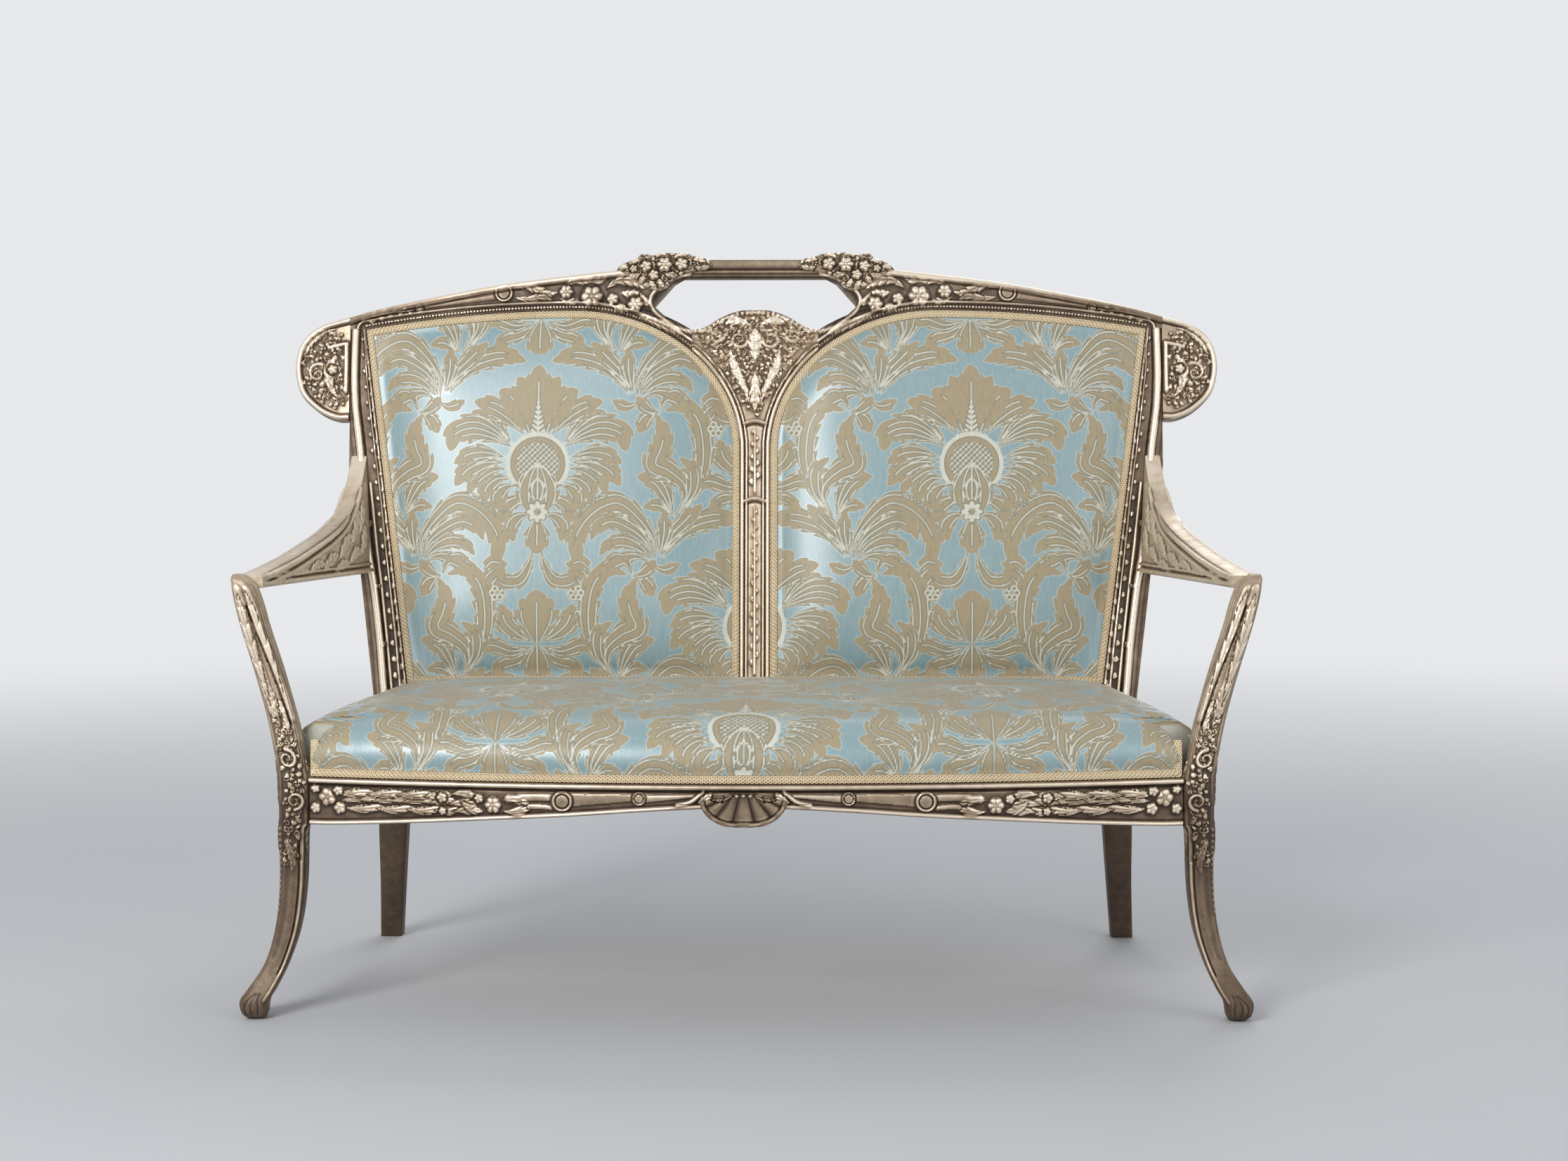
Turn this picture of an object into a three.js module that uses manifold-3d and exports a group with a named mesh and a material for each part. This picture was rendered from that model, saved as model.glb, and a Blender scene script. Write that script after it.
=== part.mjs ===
// A two-seat cabriole sofa: a carved and silvered beech frame with shaped legs, open arms and a
// pierced crest, a stuffed seat on webbing, and two stuffed back panels edged with braid.
// Millimetres, +Z up, front facing -Y. The origin is on the floor, under the middle of the sofa.
import * as THREE from "three";
import { mergeVertices } from "three/addons/utils/BufferGeometryUtils.js";
import Module from "manifold-3d";

const wasm = await Module();
wasm.setup();

// Clearances
const jointGap = 0.3; // glue line between two pieces of wood
const clothGap = 0.5; // between upholstery and the wood beside it
const overrun = 5; // how far a cutting solid runs past the piece that it cuts
const weldDistance = 0.001;

// Front legs, each with its arm support in one piece
const legSize = 46; // square of the block that takes the seat rails
const legFlare = 86; // middle of the block outside the stile's inner edge at its foot
const blockBottom = 277; // floor to the underside of the block
const footSplay = 57; // how far the toe stands outside the block
const footForward = 24; // how far the toe stands in front of the block
const postOver = 21; // how far the tip of the arm support stands over the arm's underside
const postLean = 80; // how far the tip stands outside the block

// Seat rails
const railTop = 345; // floor to the top of the rails
const railThick = 32; // front rail, front to back
const railSetback = 5; // front face of the rail behind the front of the leg
const railBow = 70; // how far the front rail bows forward
const apronArch = 37; // rise of the front rail's lower edge towards the middle
const lipOut = 5; // top moulding of the front rail
const lipTall = 11;
const beadOut = 3; // bottom bead of the front rail
const beadTall = 9;
const sideRailThick = 28;
const sideRailTall = 65;
const sideRailSetback = 6; // side rail's outer face inside the leg's
const rearRailThick = 32;
const rearRailTall = 65;
const rearRailSetback = 8; // rear rail's front face behind the stile's
const braceWide = 45; // cross rail in the middle of the seat
const braceTall = 22;
const braceDrop = 5; // top of the cross rail under the top of the seat rails

// Tenons and dowels
const tenonThick = 10;
const tenonDeep = 18;
const tenonShoulder = 11; // wood left above and below a tenon
const dowelRadius = 4;
const dowelHalf = 12; // length of a dowel in each of its two pieces
const crestTenonWide = 12; // tenon on top of each stile
const crestTenonTall = 10;
const braceTenon = 9; // square of the cross rail's stub tenons
const braceTenonDeep = 10;

// Back, drawn in its own plane: across, up the slope, and out towards the front
const reclineDegrees = 9.4;
const backBase = 400; // floor to the foot of the sloping back
const stileFront = 497; // front of the leg to the front face of the stile, at its foot
const stileInnerFoot = 556; // middle of the sofa to the stile's inner edge, at its foot
const stileLean = 79; // how much further out its inner edge stands under the crest
const stileFootWide = 57;
const stileHeadWide = 25; // width of the stile under the crest
const stileKnee = 380; // up the slope to where the outer edge turns upright
const stileDeepFoot = 48;
const stileDeepHead = 36;
const rearRake = 68; // how far the rear foot stands behind the stile
const rearSplay = 26; // how far the rear foot stands outside the stile
const rearLegWide = 50;
const rearLegDeep = 48;
const rearCorner = 4; // rounding of the rear leg's edges
const cornerRise = 603; // up the slope to the underside of the crest at the stile
const peakRise = 634; // up the slope to the highest point of the panel
const peakAcross = 294; // middle of the sofa to that point
const springRise = 405; // up the slope to where the panel's round shoulder begins
const splatHalf = 24; // half the width of the centre splat
const splatThick = 30;
const crestThick = 32;
const crestRise = 114; // height of the crest over its underside at the stile
const crestEndRise = 20; // height of the crest at its end
const gripThick = 28; // depth of the bar over the hand hole
const holeHalf = 167; // half the width of the hand hole
const holeTall = 88;
const domeTall = 33; // height of the splat's dome over the hole's lowest point
const headJoint = 102; // middle of the sofa to the joint between splat and crest
const lowerRailTall = 40;
const lowerRailThick = 28;
const lowerRailTop = 25; // up the slope to the top of the lower back rail
const earReach = 89;
const earTall = 170;
const earThick = 28;
const earSetback = 1;

// Arms
const armUnder = 611; // floor to the underside of the arm, at its front end
const armFall = 10; // fall of the underside to the stile
const armThick = 18; // height of the arm at its front end
const armWide = 37;
const armRearWide = 27; // width of the arm at the stile
const armFrontOut = 66; // middle of the arm's front end outside the middle of the leg
const armRearOut = 75; // middle of its rear end outside the stile's inner edge at its foot
const armSweep = 160; // rise of the arm's top edge towards the stile
const armShear = 0.06; // outward lean of the arm's sides, a slope
const armCornerShare = 0.22; // rounding of its edges over its width

// Seat upholstery
const webThick = 2;
const webWide = 50;
const webSeat = 16; // how far a strap lies on the rail
const webStrapsAcross = 8;
const webStrapsDeep = 4;
const seatSetback = 8; // cover behind the front face of the rail
const seatNotch = 3; // room between the cover and the leg
const seatEdgeTall = 52; // upright part of the stuffing
const seatCrown = 53; // rise of the stuffing from its edge to its middle
const seatCrownReach = 235; // distance from the edge over which the seat rises
const seatRearGap = 4;
const coverThick = 1.5;
const braidWide = 12;
const braidThick = 3;

// Back upholstery
const panelRim = 6; // rim of the stuffing behind the front of the frame
const panelDeep = 14; // back of the stuffing behind the front of the frame
const panelRimWide = 15;
const panelCrown = 24; // rise of the stuffing from its rim to its middle
const backWebThick = 2;
const backWebWide = 50;
const outerClothDepth = 27; // outside-back cloth behind the front of the frame
const outerClothThick = 1.5;

// Corner blocks and their screws
const blockReach = 72;
const blockTall = 40;
const blockDrop = 12; // top of the block under the top of the rails
const blockGap = 2; // room between a block and the leg
const screwRadius = 2;
const screwHeadRadius = 4;
const screwHeadTall = 3;
const screwLong = 38;
const screwSink = 14; // wood between the screw's head and the rail
const screwStagger = 9; // how far a corner's screws lie over and under the block's middle

// Carved ornament
const shellHalf = 62;
const shellTall = 50;
const shellProud = 15;
const bouquetHalf = 82;
const bouquetTall = 66;
const bouquetAcross = 148;
const bouquetOver = 12; // how far the bouquet stands over the crest
const bouquetProud = 13;
const petalShare = 0.07; // depth of a petal in the ornament's outline
const shellFlatShare = 0.8; // height of the shell's flat top over half its height

// Colours
const silverLeaf = { color: 0xb5a48c, roughness: 0.42, metalness: 0.7 };
const bareWood = { color: 0x8a6b4a, roughness: 0.75, metalness: 0 };
const damask = { color: 0x8db4bd, roughness: 0.55, metalness: 0 };
const goldBraid = { color: 0xb99a63, roughness: 0.7, metalness: 0 };
const jute = { color: 0x9b8358, roughness: 0.9, metalness: 0 };
const horsehair = { color: 0x5b4a3a, roughness: 0.95, metalness: 0 };
const steel = { color: 0x8b8d8f, roughness: 0.4, metalness: 1 };

const sofa = new THREE.Group();
const recline = THREE.MathUtils.degToRad(reclineDegrees);
const back = new THREE.Group();
back.position.set(0, stileFront, backBase);
back.rotation.x = Math.PI / 2 - recline;
sofa.add(back);

// Helpers for solids

const mix = (a, b, share) => a + (b - a) * share;
const range = (count) => Array.from({ length: count }, (_, i) => i);
const steps = (count) => range(count + 1).map((i) => i / count);

function solidOf(geometry) {
  const bare = geometry.clone();
  for (const name of Object.keys(bare.attributes))
    if (name !== "position") bare.deleteAttribute(name);
  const merged = mergeVertices(bare, weldDistance);
  const made = new wasm.Manifold(
    new wasm.Mesh({
      numProp: 3,
      vertProperties: new Float32Array(merged.attributes.position.array),
      triVerts: new Uint32Array(merged.index.array),
    }),
  );
  return made;
}

function geometryOf(solid) {
  const mesh = solid.getMesh();
  const stride = mesh.numProp;
  const points = new Float32Array(mesh.numVert * 3);
  for (const i of range(mesh.numVert))
    points.set(mesh.vertProperties.subarray(i * stride, i * stride + 3), i * 3);
  const geometry = new THREE.BufferGeometry();
  geometry.setAttribute("position", new THREE.BufferAttribute(points, 3));
  geometry.setIndex(new THREE.BufferAttribute(new Uint32Array(mesh.triVerts), 1));
  geometry.computeVertexNormals();
  return geometry;
}

// A closed skin over rings that hold equally many points, with a fan over each end ring.
function loft(rings) {
  const count = rings[0].length;
  const middle = (ring) =>
    ring.reduce((sum, p) => sum.add(p), new THREE.Vector3()).divideScalar(count);
  const points = rings.flat().concat([middle(rings[0]), middle(rings.at(-1))]);
  const faces = [];
  range(rings.length - 1).forEach((k) =>
    range(count).forEach((i) => {
      const j = (i + 1) % count;
      const [a, b] = [k * count + i, k * count + j];
      faces.push(a, b, b + count, a, b + count, a + count);
    }),
  );
  const first = points.length - 2;
  const last = (rings.length - 1) * count;
  range(count).forEach((i) => {
    const j = (i + 1) % count;
    faces.push(first, j, i, first + 1, last + i, last + j);
  });
  return outward(points, faces);
}

// The same skin over rings that go round and meet again, so that it needs no ends.
function ringLoft(rings) {
  const [count, total] = [rings[0].length, rings.flat().length];
  const faces = range(rings.length).flatMap((k) =>
    range(count).flatMap((i) => {
      const [a, b] = [k * count + i, k * count + ((i + 1) % count)];
      const [c, d] = [(a + count) % total, (b + count) % total];
      return [a, b, d, a, d, c];
    }),
  );
  return outward(rings.flat(), faces);
}

function outward(points, faces) {
  const geometry = new THREE.BufferGeometry().setFromPoints(points);
  return geometry.setIndex(signedVolume(points, faces) < 0 ? faces.reverse() : faces);
}

function signedVolume(points, faces) {
  let sum = 0;
  for (let i = 0; i < faces.length; i += 3) {
    const [a, b, c] = [points[faces[i]], points[faces[i + 1]], points[faces[i + 2]]];
    sum += a.dot(new THREE.Vector3().crossVectors(b, c));
  }
  return sum;
}

// A rectangle with rounded corners, three points to a corner.
function softSquare(width, depth, radius) {
  const centres = [
    [width / 2 - radius, depth / 2 - radius, 0],
    [radius - width / 2, depth / 2 - radius, 1],
    [radius - width / 2, radius - depth / 2, 2],
    [width / 2 - radius, radius - depth / 2, 3],
  ];
  return centres.flatMap(([x, y, quarter]) =>
    steps(2).map((share) => {
      const angle = ((quarter + share) * Math.PI) / 2;
      return new THREE.Vector2(x + radius * Math.cos(angle), y + radius * Math.sin(angle));
    }),
  );
}

function box(low, high) {
  const size = high.map((value, i) => value - low[i]);
  const made = new THREE.BoxGeometry(...size);
  return made.translate(...low.map((value, i) => value + size[i] / 2));
}

function plate(outline, thick, front = 0) {
  const geometry = new THREE.ExtrudeGeometry(new THREE.Shape(outline), {
    depth: thick,
    bevelEnabled: false,
  });
  return geometry.translate(0, 0, front - thick);
}

const mirrored = (points) => points.map((p) => new THREE.Vector2(-p.x, p.y)).reverse();
const grown = (low, high, gap) => [low.map((v) => v - gap), high.map((v) => v + gap)];

function add(name, geometry, look, group = sofa) {
  const mesh = new THREE.Mesh(geometry, new THREE.MeshStandardMaterial(look));
  mesh.name = name;
  group.add(mesh);
}

const sides = [
  ["left", -1],
  ["right", 1],
];

// A point of the back's own plane, in the sofa's frame.
function backPoint(across, up, out) {
  return new THREE.Vector3(
    across,
    stileFront + up * Math.sin(recline) - out * Math.cos(recline),
    backBase + up * Math.cos(recline) + out * Math.sin(recline),
  );
}

const acrossBox = (side, low, high) => [
  [Math.min(side * low[0], side * high[0]), low[1], low[2]],
  [Math.max(side * low[0], side * high[0]), high[1], high[2]],
];

// Front legs: shares of the block's height, the splay, the block's size, and the toe's forward throw
const legShares = [
  [0, 0.98, 0.55, 0.6, 1],
  [0.035, 1, 0.8, 0.95, 1],
  [0.1, 0.99, 0.92, 1.02, 1],
  [0.165, 0.79, 0.88, 0.92, 0.93],
  [0.29, 0.46, 0.76, 0.8, 0.66],
  [0.47, 0.2, 0.8, 0.84, 0.3],
  [0.69, 0.07, 0.84, 0.92, 0.08],
  [0.96, 0.04, 0.9, 1, 0],
  [1, 0, 1, 1, 0],
];
// Arm supports: shares of the height over the rails, the lean, and the block's size
const postShares = [
  [0, 0, 1, 1],
  [0.12, 0.09, 0.92, 0.94],
  [0.26, 0.19, 0.9, 0.9],
  [0.37, 0.29, 0.88, 0.88],
  [0.54, 0.46, 0.88, 0.86],
  [0.74, 0.68, 0.86, 0.84],
  [0.86, 0.79, 0.84, 0.84],
  [0.94, 0.87, 0.74, 0.84],
  [0.98, 0.95, 0.54, 0.76],
  [1, 0.99, 0.34, 0.62],
];
const legCornerShare = 0.14;
const legCentre = stileInnerFoot + legFlare;
const postTop = armUnder + postOver;
const legInner = legCentre - legSize / 2;
const legOuter = legCentre + legSize / 2;

// One ring of a front leg, with its back edge in line with the back of the block.
function legRing(side, height, centre, width, depth, forward) {
  const radius = legCornerShare * Math.min(width, depth);
  return softSquare(width, depth, radius).map(
    (p) =>
      new THREE.Vector3(side * (centre + p.x), legSize - forward - depth / 2 + p.y, height),
  );
}

function frontLeg(side) {
  const lower = legShares.map(([z, splay, wide, deep, forward]) =>
    legRing(
      side,
      blockBottom * z,
      legCentre + footSplay * splay,
      legSize * wide,
      legSize * deep,
      footForward * forward,
    ),
  );
  const upper = postShares.map(([z, lean, wide, deep]) =>
    legRing(
      side,
      mix(railTop, postTop, z),
      legCentre + postLean * lean,
      legSize * wide,
      legSize * deep,
      0,
    ),
  );
  return solidOf(loft([...lower, ...upper]));
}

// Tenons of the seat rails, as boxes in the sofa's frame. The legs are cut to take them.
const tenonLow = railTop - sideRailTall + tenonShoulder;
const tenonHigh = railTop - tenonShoulder;
const frontTenonY = railSetback + railThick / 2;
const sideFrontCentre = legOuter - sideRailSetback - sideRailThick / 2;
const rearOuter = stileInnerFoot + rearLegWide;
const sideRearCentre = rearOuter - sideRailSetback - sideRailThick / 2;
const rearRailFront = stileFront + rearRailSetback;
const rearTenonY = rearRailFront + rearRailThick / 2;
const tenons = {
  frontRail: (side) =>
    acrossBox(
      side,
      [legInner - overrun, frontTenonY - tenonThick / 2, tenonLow],
      [legInner + tenonDeep, frontTenonY + tenonThick / 2, tenonHigh],
    ),
  sideFront: (side) =>
    acrossBox(
      side,
      [sideFrontCentre - tenonThick / 2, legSize - tenonDeep, tenonLow],
      [sideFrontCentre + tenonThick / 2, legSize + overrun, tenonHigh],
    ),
  sideRear: (side) =>
    acrossBox(
      side,
      [sideRearCentre - tenonThick / 2, stileFront - overrun, tenonLow],
      [sideRearCentre + tenonThick / 2, stileFront + tenonDeep, tenonHigh],
    ),
  rearRail: (side) =>
    acrossBox(
      side,
      [stileInnerFoot - overrun, rearTenonY - tenonThick / 2, tenonLow],
      [stileInnerFoot + tenonDeep, rearTenonY + tenonThick / 2, tenonHigh],
    ),
};
const tenon = (name, side) => solidOf(box(...tenons[name](side)));
const mortise = (name, side) => solidOf(box(...grown(...tenons[name](side), jointGap)));

// Dowels: a cylinder along one axis, and the bore that takes it
const dowelSides = 10;
function rod(radius, half, axis) {
  const made = new THREE.CylinderGeometry(radius, radius, 2 * half, dowelSides);
  if (axis === "x") made.rotateZ(Math.PI / 2);
  if (axis === "z") made.rotateX(Math.PI / 2);
  return made;
}
const dowel = (axis) => rod(dowelRadius, dowelHalf, axis);
const bore = (axis) => rod(dowelRadius + jointGap, dowelHalf + jointGap, axis);
const armFrontCentre = legCentre + armFrontOut;
const armRearCentre = stileInnerFoot + armRearOut;
const armDowelHeight = armUnder + armThick / 2;
const armFrontDowel = (side) => [side * armFrontCentre, legSize, armDowelHeight];
const armRearDowelUp = (armUnder + armThick - backBase) / Math.cos(recline);
const armRearDowel = (side) => [side * armRearCentre, armRearDowelUp, 0];
const stileInnerHead = stileInnerFoot + stileLean;
const stileOuterHead = stileInnerHead + stileHeadWide;
const earDowelUp = cornerRise + crestEndRise - earTall / 2;
const earDowel = (side) => [side * stileOuterHead, earDowelUp, -earSetback - earThick / 2];
const headDowelUp = cornerRise - splatHalf;
const headDowel = (side) => [side * headJoint, headDowelUp, -splatThick / 2];

// The solid of a geometry given in the back's plane, moved to the sofa's frame.
function fromBack(geometry) {
  back.updateMatrixWorld(true);
  return solidOf(geometry.clone().applyMatrix4(back.matrixWorld));
}

sides.forEach(([name, side]) => {
  const leg = frontLeg(side)
    .subtract(mortise("frontRail", side))
    .subtract(mortise("sideFront", side))
    .subtract(solidOf(bore("y").translate(...armFrontDowel(side))));
  add(`front_leg_${name}`, geometryOf(leg), silverLeaf);
  add(`arm_dowel_front_${name}`, dowel("y").translate(...armFrontDowel(side)), bareWood);
});

// Rear legs: shares of the block's height, the rake, the splay, and the leg's width and depth
const rearLegShares = [
  [0, 1, 1, 0.8, 0.75],
  [0.36, 0.56, 0.38, 0.86, 0.84],
  [0.68, 0.22, 0.04, 0.92, 0.92],
  [0.98, 0, 0, 1, 1],
];
const stileInner = (up) => mix(stileInnerFoot, stileInnerHead, up / cornerRise);
const stileOuter = (up) =>
  mix(stileInnerFoot + stileFootWide, stileOuterHead, Math.min(up / stileKnee, 1));
const stileDeep = (up) => mix(stileDeepFoot, stileDeepHead, up / cornerRise);

function rearLeg(side) {
  const lower = rearLegShares.map(([z, rake, splay, wide, deep]) => {
    const [width, depth] = [rearLegWide * wide, rearLegDeep * deep];
    const centre = stileInnerFoot + rearSplay * splay + width / 2;
    return softSquare(width, depth, rearCorner).map(
      (p) =>
        new THREE.Vector3(
          side * (centre + p.x),
          stileFront + rearRake * rake + depth / 2 + p.y,
          (railTop - sideRailTall) * z,
        ),
    );
  });
  const block = softSquare(rearLegWide, rearLegDeep, rearCorner).map(
    (p) =>
      new THREE.Vector3(
        side * (stileInnerFoot + rearLegWide / 2 + p.x),
        stileFront + rearLegDeep / 2 + p.y,
        railTop,
      ),
  );
  const upper = [0, stileKnee, cornerRise].map((up) => {
    const [width, depth] = [stileOuter(up) - stileInner(up), stileDeep(up)];
    return softSquare(width, depth, rearCorner).map((p) =>
      backPoint(side * (stileInner(up) + width / 2 + p.x), up, -depth / 2 - p.y),
    );
  });
  return solidOf(loft([...lower, block, ...upper]));
}

const crestTenonCentre = (stileInnerHead + stileOuterHead) / 2;
const crestTenonBox = (side) =>
  acrossBox(
    side,
    [crestTenonCentre - crestTenonWide / 2, cornerRise - overrun, -stileDeepHead / 2 - tenonThick / 2],
    [crestTenonCentre + crestTenonWide / 2, cornerRise + crestTenonTall, tenonThick / 2 - stileDeepHead / 2],
  );
const lowerRailBottom = lowerRailTop - lowerRailTall;
const lowerTenonUp = lowerRailTall / 4;
const lowerTenonBox = (side) =>
  acrossBox(
    side,
    [stileInnerFoot - 2 * overrun, lowerRailBottom + lowerTenonUp, -lowerRailThick / 2 - tenonThick / 2],
    [stileInnerFoot + tenonDeep, lowerRailTop - lowerTenonUp, tenonThick / 2 - lowerRailThick / 2],
  );

sides.forEach(([name, side]) => {
  const leg = rearLeg(side)
    .subtract(mortise("sideRear", side))
    .subtract(mortise("rearRail", side))
    .subtract(fromBack(bore("z").translate(...armRearDowel(side))))
    .subtract(fromBack(bore("x").translate(...earDowel(side))))
    .subtract(fromBack(box(...grown(...lowerTenonBox(side), jointGap))))
    .add(fromBack(box(...crestTenonBox(side))));
  add(`rear_leg_${name}`, geometryOf(leg), silverLeaf);
  add(`arm_dowel_rear_${name}`, dowel("z").translate(...armRearDowel(side)), bareWood, back);
  add(`ear_dowel_${name}`, dowel("x").translate(...earDowel(side)), bareWood, back);
});

// Corner screws: a head and a shank that points along -Y before it is turned
const screwSides = 8;
function screwShape(gap) {
  const [head, shank] = [screwHeadRadius + gap, screwRadius + gap];
  const profile = [
    [0, -screwLong - gap],
    [shank, -screwLong - gap],
    [shank, -screwHeadTall - gap],
    [head, -gap],
    [head, gap > 0 ? 2 * screwLong : gap],
    [0, gap > 0 ? 2 * screwLong : gap],
  ];
  const points = profile.map(([r, z]) => new THREE.Vector2(r, z));
  return new THREE.LatheGeometry(points, screwSides);
}

// Each corner's two screws: where the head lies, and the turn about Z that aims the shank
const cornerY = { front: legSize + blockGap, rear: stileFront - blockGap };
const blockHeight = railTop - blockDrop - blockTall / 2;
function screwPlaces(end, side) {
  const deep = end === "front" ? 1 : -1;
  const railFace = end === "front" ? bowBack(legInner - blockReach / 2) : rearRailFront;
  const railX = end === "front" ? legInner - blockReach / 2 : stileInnerFoot - blockReach / 2;
  const sideY = cornerY[end] + (deep * blockReach) / 3;
  const sideX = sideInner(sideY);
  return [
    {
      at: [side * railX, railFace + deep * screwSink, blockHeight + screwStagger],
      aim: deep > 0 ? 0 : Math.PI,
    },
    {
      at: [side * (sideX - screwSink), sideY, blockHeight - screwStagger],
      aim: (side * Math.PI) / 2,
    },
  ];
}

const screwAt = (place, gap) => screwShape(gap).rotateZ(place.aim).translate(...place.at);

// Front seat rail: bowed in plan, with a lip along its top and a bead along its arched lower edge
const apronShares = [
  [0, 1],
  [0.125, 1],
  [0.25, 0.89],
  [0.41, 0.69],
  [0.57, 0.55],
  [0.73, 0.39],
  [0.89, 0.21],
  [1, 0],
];
const bowFront = (x) => railSetback - railBow * (1 - (x / legInner) ** 2);
const bowBack = (x) => bowFront(x) + railThick;
const sideInner = (y) =>
  mix(sideFrontCentre, sideRearCentre, (y - legSize) / (stileFront - legSize)) -
  sideRailThick / 2;
const sideOuter = (y) => sideInner(y) + sideRailThick;

function apronLow(x) {
  const share = Math.min(Math.abs(x) / legInner, 1);
  const next = Math.max(1, apronShares.findIndex(([at]) => at >= share));
  const [[x0, y0], [x1, y1]] = [apronShares[next - 1], apronShares[next]];
  return blockBottom + apronArch * mix(y0, y1, (share - x0) / (x1 - x0));
}

// Stub tenons of the cross rail, into the front rail and the rear rail
const braceTop = railTop - braceDrop;
const braceMiddle = braceTop - braceTall / 2;
const braceTenonAt = (front, rear) => [
  [-braceTenon / 2, front, braceMiddle - braceTenon / 2],
  [braceTenon / 2, rear, braceMiddle + braceTenon / 2],
];
const braceTenons = [
  braceTenonAt(bowBack(0) - braceTenonDeep, bowBack(0) + overrun),
  braceTenonAt(rearRailFront - overrun, rearRailFront + braceTenonDeep),
];
const cutBrace = (solid) =>
  braceTenons.reduce((cut, ends) => cut.subtract(solidOf(box(...grown(...ends, jointGap)))), solid);

function frontRail() {
  const half = legInner - jointGap;
  const rings = steps(24).map((share) => {
    const x = mix(-half, half, share);
    const low = apronLow(x);
    const section = [
      [-lipOut, railTop],
      [railThick, railTop],
      [railThick, low],
      [-beadOut, low],
      [-beadOut, low + beadTall / 2],
      [0, low + beadTall],
      [0, railTop - lipTall],
      [-lipOut, railTop - lipTall / 2],
    ];
    return section.map(([depth, z]) => new THREE.Vector3(x, bowFront(x) + depth, z));
  });
  return solidOf(loft(rings)).add(tenon("frontRail", -1)).add(tenon("frontRail", 1));
}

const cutScrews = (solid, places) =>
  places.reduce((cut, place) => cut.subtract(solidOf(screwAt(place, jointGap))), solid);
const ends = ["front", "rear"];
const railScrews = (end) => sides.map(([, side]) => screwPlaces(end, side)[0]);
const sideScrews = (side) => ends.map((end) => screwPlaces(end, side)[1]);

const frontRailCut = cutBrace(cutScrews(frontRail(), railScrews("front")));
add("front_seat_rail", geometryOf(frontRailCut), silverLeaf);

function sideRail(side) {
  const low = railTop - sideRailTall;
  const ring = (y) =>
    [
      [sideInner(y), low],
      [sideOuter(y), low],
      [sideOuter(y), railTop],
      [sideInner(y), railTop],
    ].map(([x, z]) => new THREE.Vector3(side * x, y, z));
  const rail = solidOf(loft([ring(legSize + jointGap), ring(stileFront - jointGap)]));
  return rail.add(tenon("sideFront", side)).add(tenon("sideRear", side));
}
sides.forEach(([name, side]) =>
  add(`side_seat_rail_${name}`, geometryOf(cutScrews(sideRail(side), sideScrews(side))), silverLeaf),
);

function rearRail() {
  const half = stileInnerFoot - jointGap;
  const rail = box(
    [-half, rearRailFront, railTop - rearRailTall],
    [half, rearRailFront + rearRailThick, railTop],
  );
  return solidOf(rail).add(tenon("rearRail", -1)).add(tenon("rearRail", 1));
}
const rearRailCut = cutBrace(cutScrews(rearRail(), railScrews("rear")));
add("rear_seat_rail", geometryOf(rearRailCut), bareWood);

const braceFront = bowBack(braceWide / 2) + jointGap;
add(
  "seat_cross_rail",
  geometryOf(
    braceTenons.reduce(
      (made, [low, high]) => made.add(solidOf(box(low, high))),
      solidOf(
        box(
          [-braceWide / 2, braceFront, braceTop - braceTall],
          [braceWide / 2, rearRailFront - jointGap, braceTop],
        ),
      ),
    ),
  ),
  bareWood,
);

// Corner blocks, fitted in plan to the two rails and the leg that they brace
function cornerOutline(end) {
  if (end === "front") {
    const near = legInner - blockGap;
    const far = legInner - blockReach;
    const y = cornerY.front;
    return [
      [far, bowBack(far) + jointGap],
      [near, bowBack(near) + jointGap],
      [near, y],
      [sideInner(y) - jointGap, y],
      [sideInner(y + blockReach) - jointGap, y + blockReach],
    ];
  }
  const near = stileInnerFoot - blockGap;
  const y = cornerY.rear;
  return [
    [near - blockReach, rearRailFront - jointGap],
    [near, rearRailFront - jointGap],
    [near, y],
    [sideInner(y) - jointGap, y],
    [sideInner(y - blockReach) - jointGap, y - blockReach],
  ];
}
ends.forEach((end) =>
  sides.forEach(([name, side]) => {
    const outline = cornerOutline(end).map(([x, y]) => new THREE.Vector2(side * x, y));
    const block = plate(outline, blockTall, blockHeight + blockTall / 2);
    const places = screwPlaces(end, side);
    add(`corner_block_${end}_${name}`, geometryOf(cutScrews(solidOf(block), places)), bareWood);
    places.forEach((place, i) =>
      add(`corner_screw_${end}_${name}_${i + 1}`, screwAt(place, 0), steel),
    );
  }),
);

// The opening of the right-hand back panel, in the back's plane: upright stile, shallow curve up
// to the peak, then a quarter of an ellipse down to the splat.
const archAcross = peakAcross - splatHalf;
const archRise = peakRise - springRise;
const cornerAcross = stileInner(cornerRise);
const cornerDrop = peakRise - cornerRise;
const panelTop = (x) =>
  peakRise - cornerDrop * ((x - peakAcross) / (cornerAcross - peakAcross)) ** 2;
const archPoint = (angle, inset = 0) =>
  new THREE.Vector2(
    peakAcross - (archAcross - inset) * Math.cos(angle),
    springRise + (archRise - inset) * Math.sin(angle),
  );
const jointAngle = Math.acos((peakAcross - headJoint) / archAcross);

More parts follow.
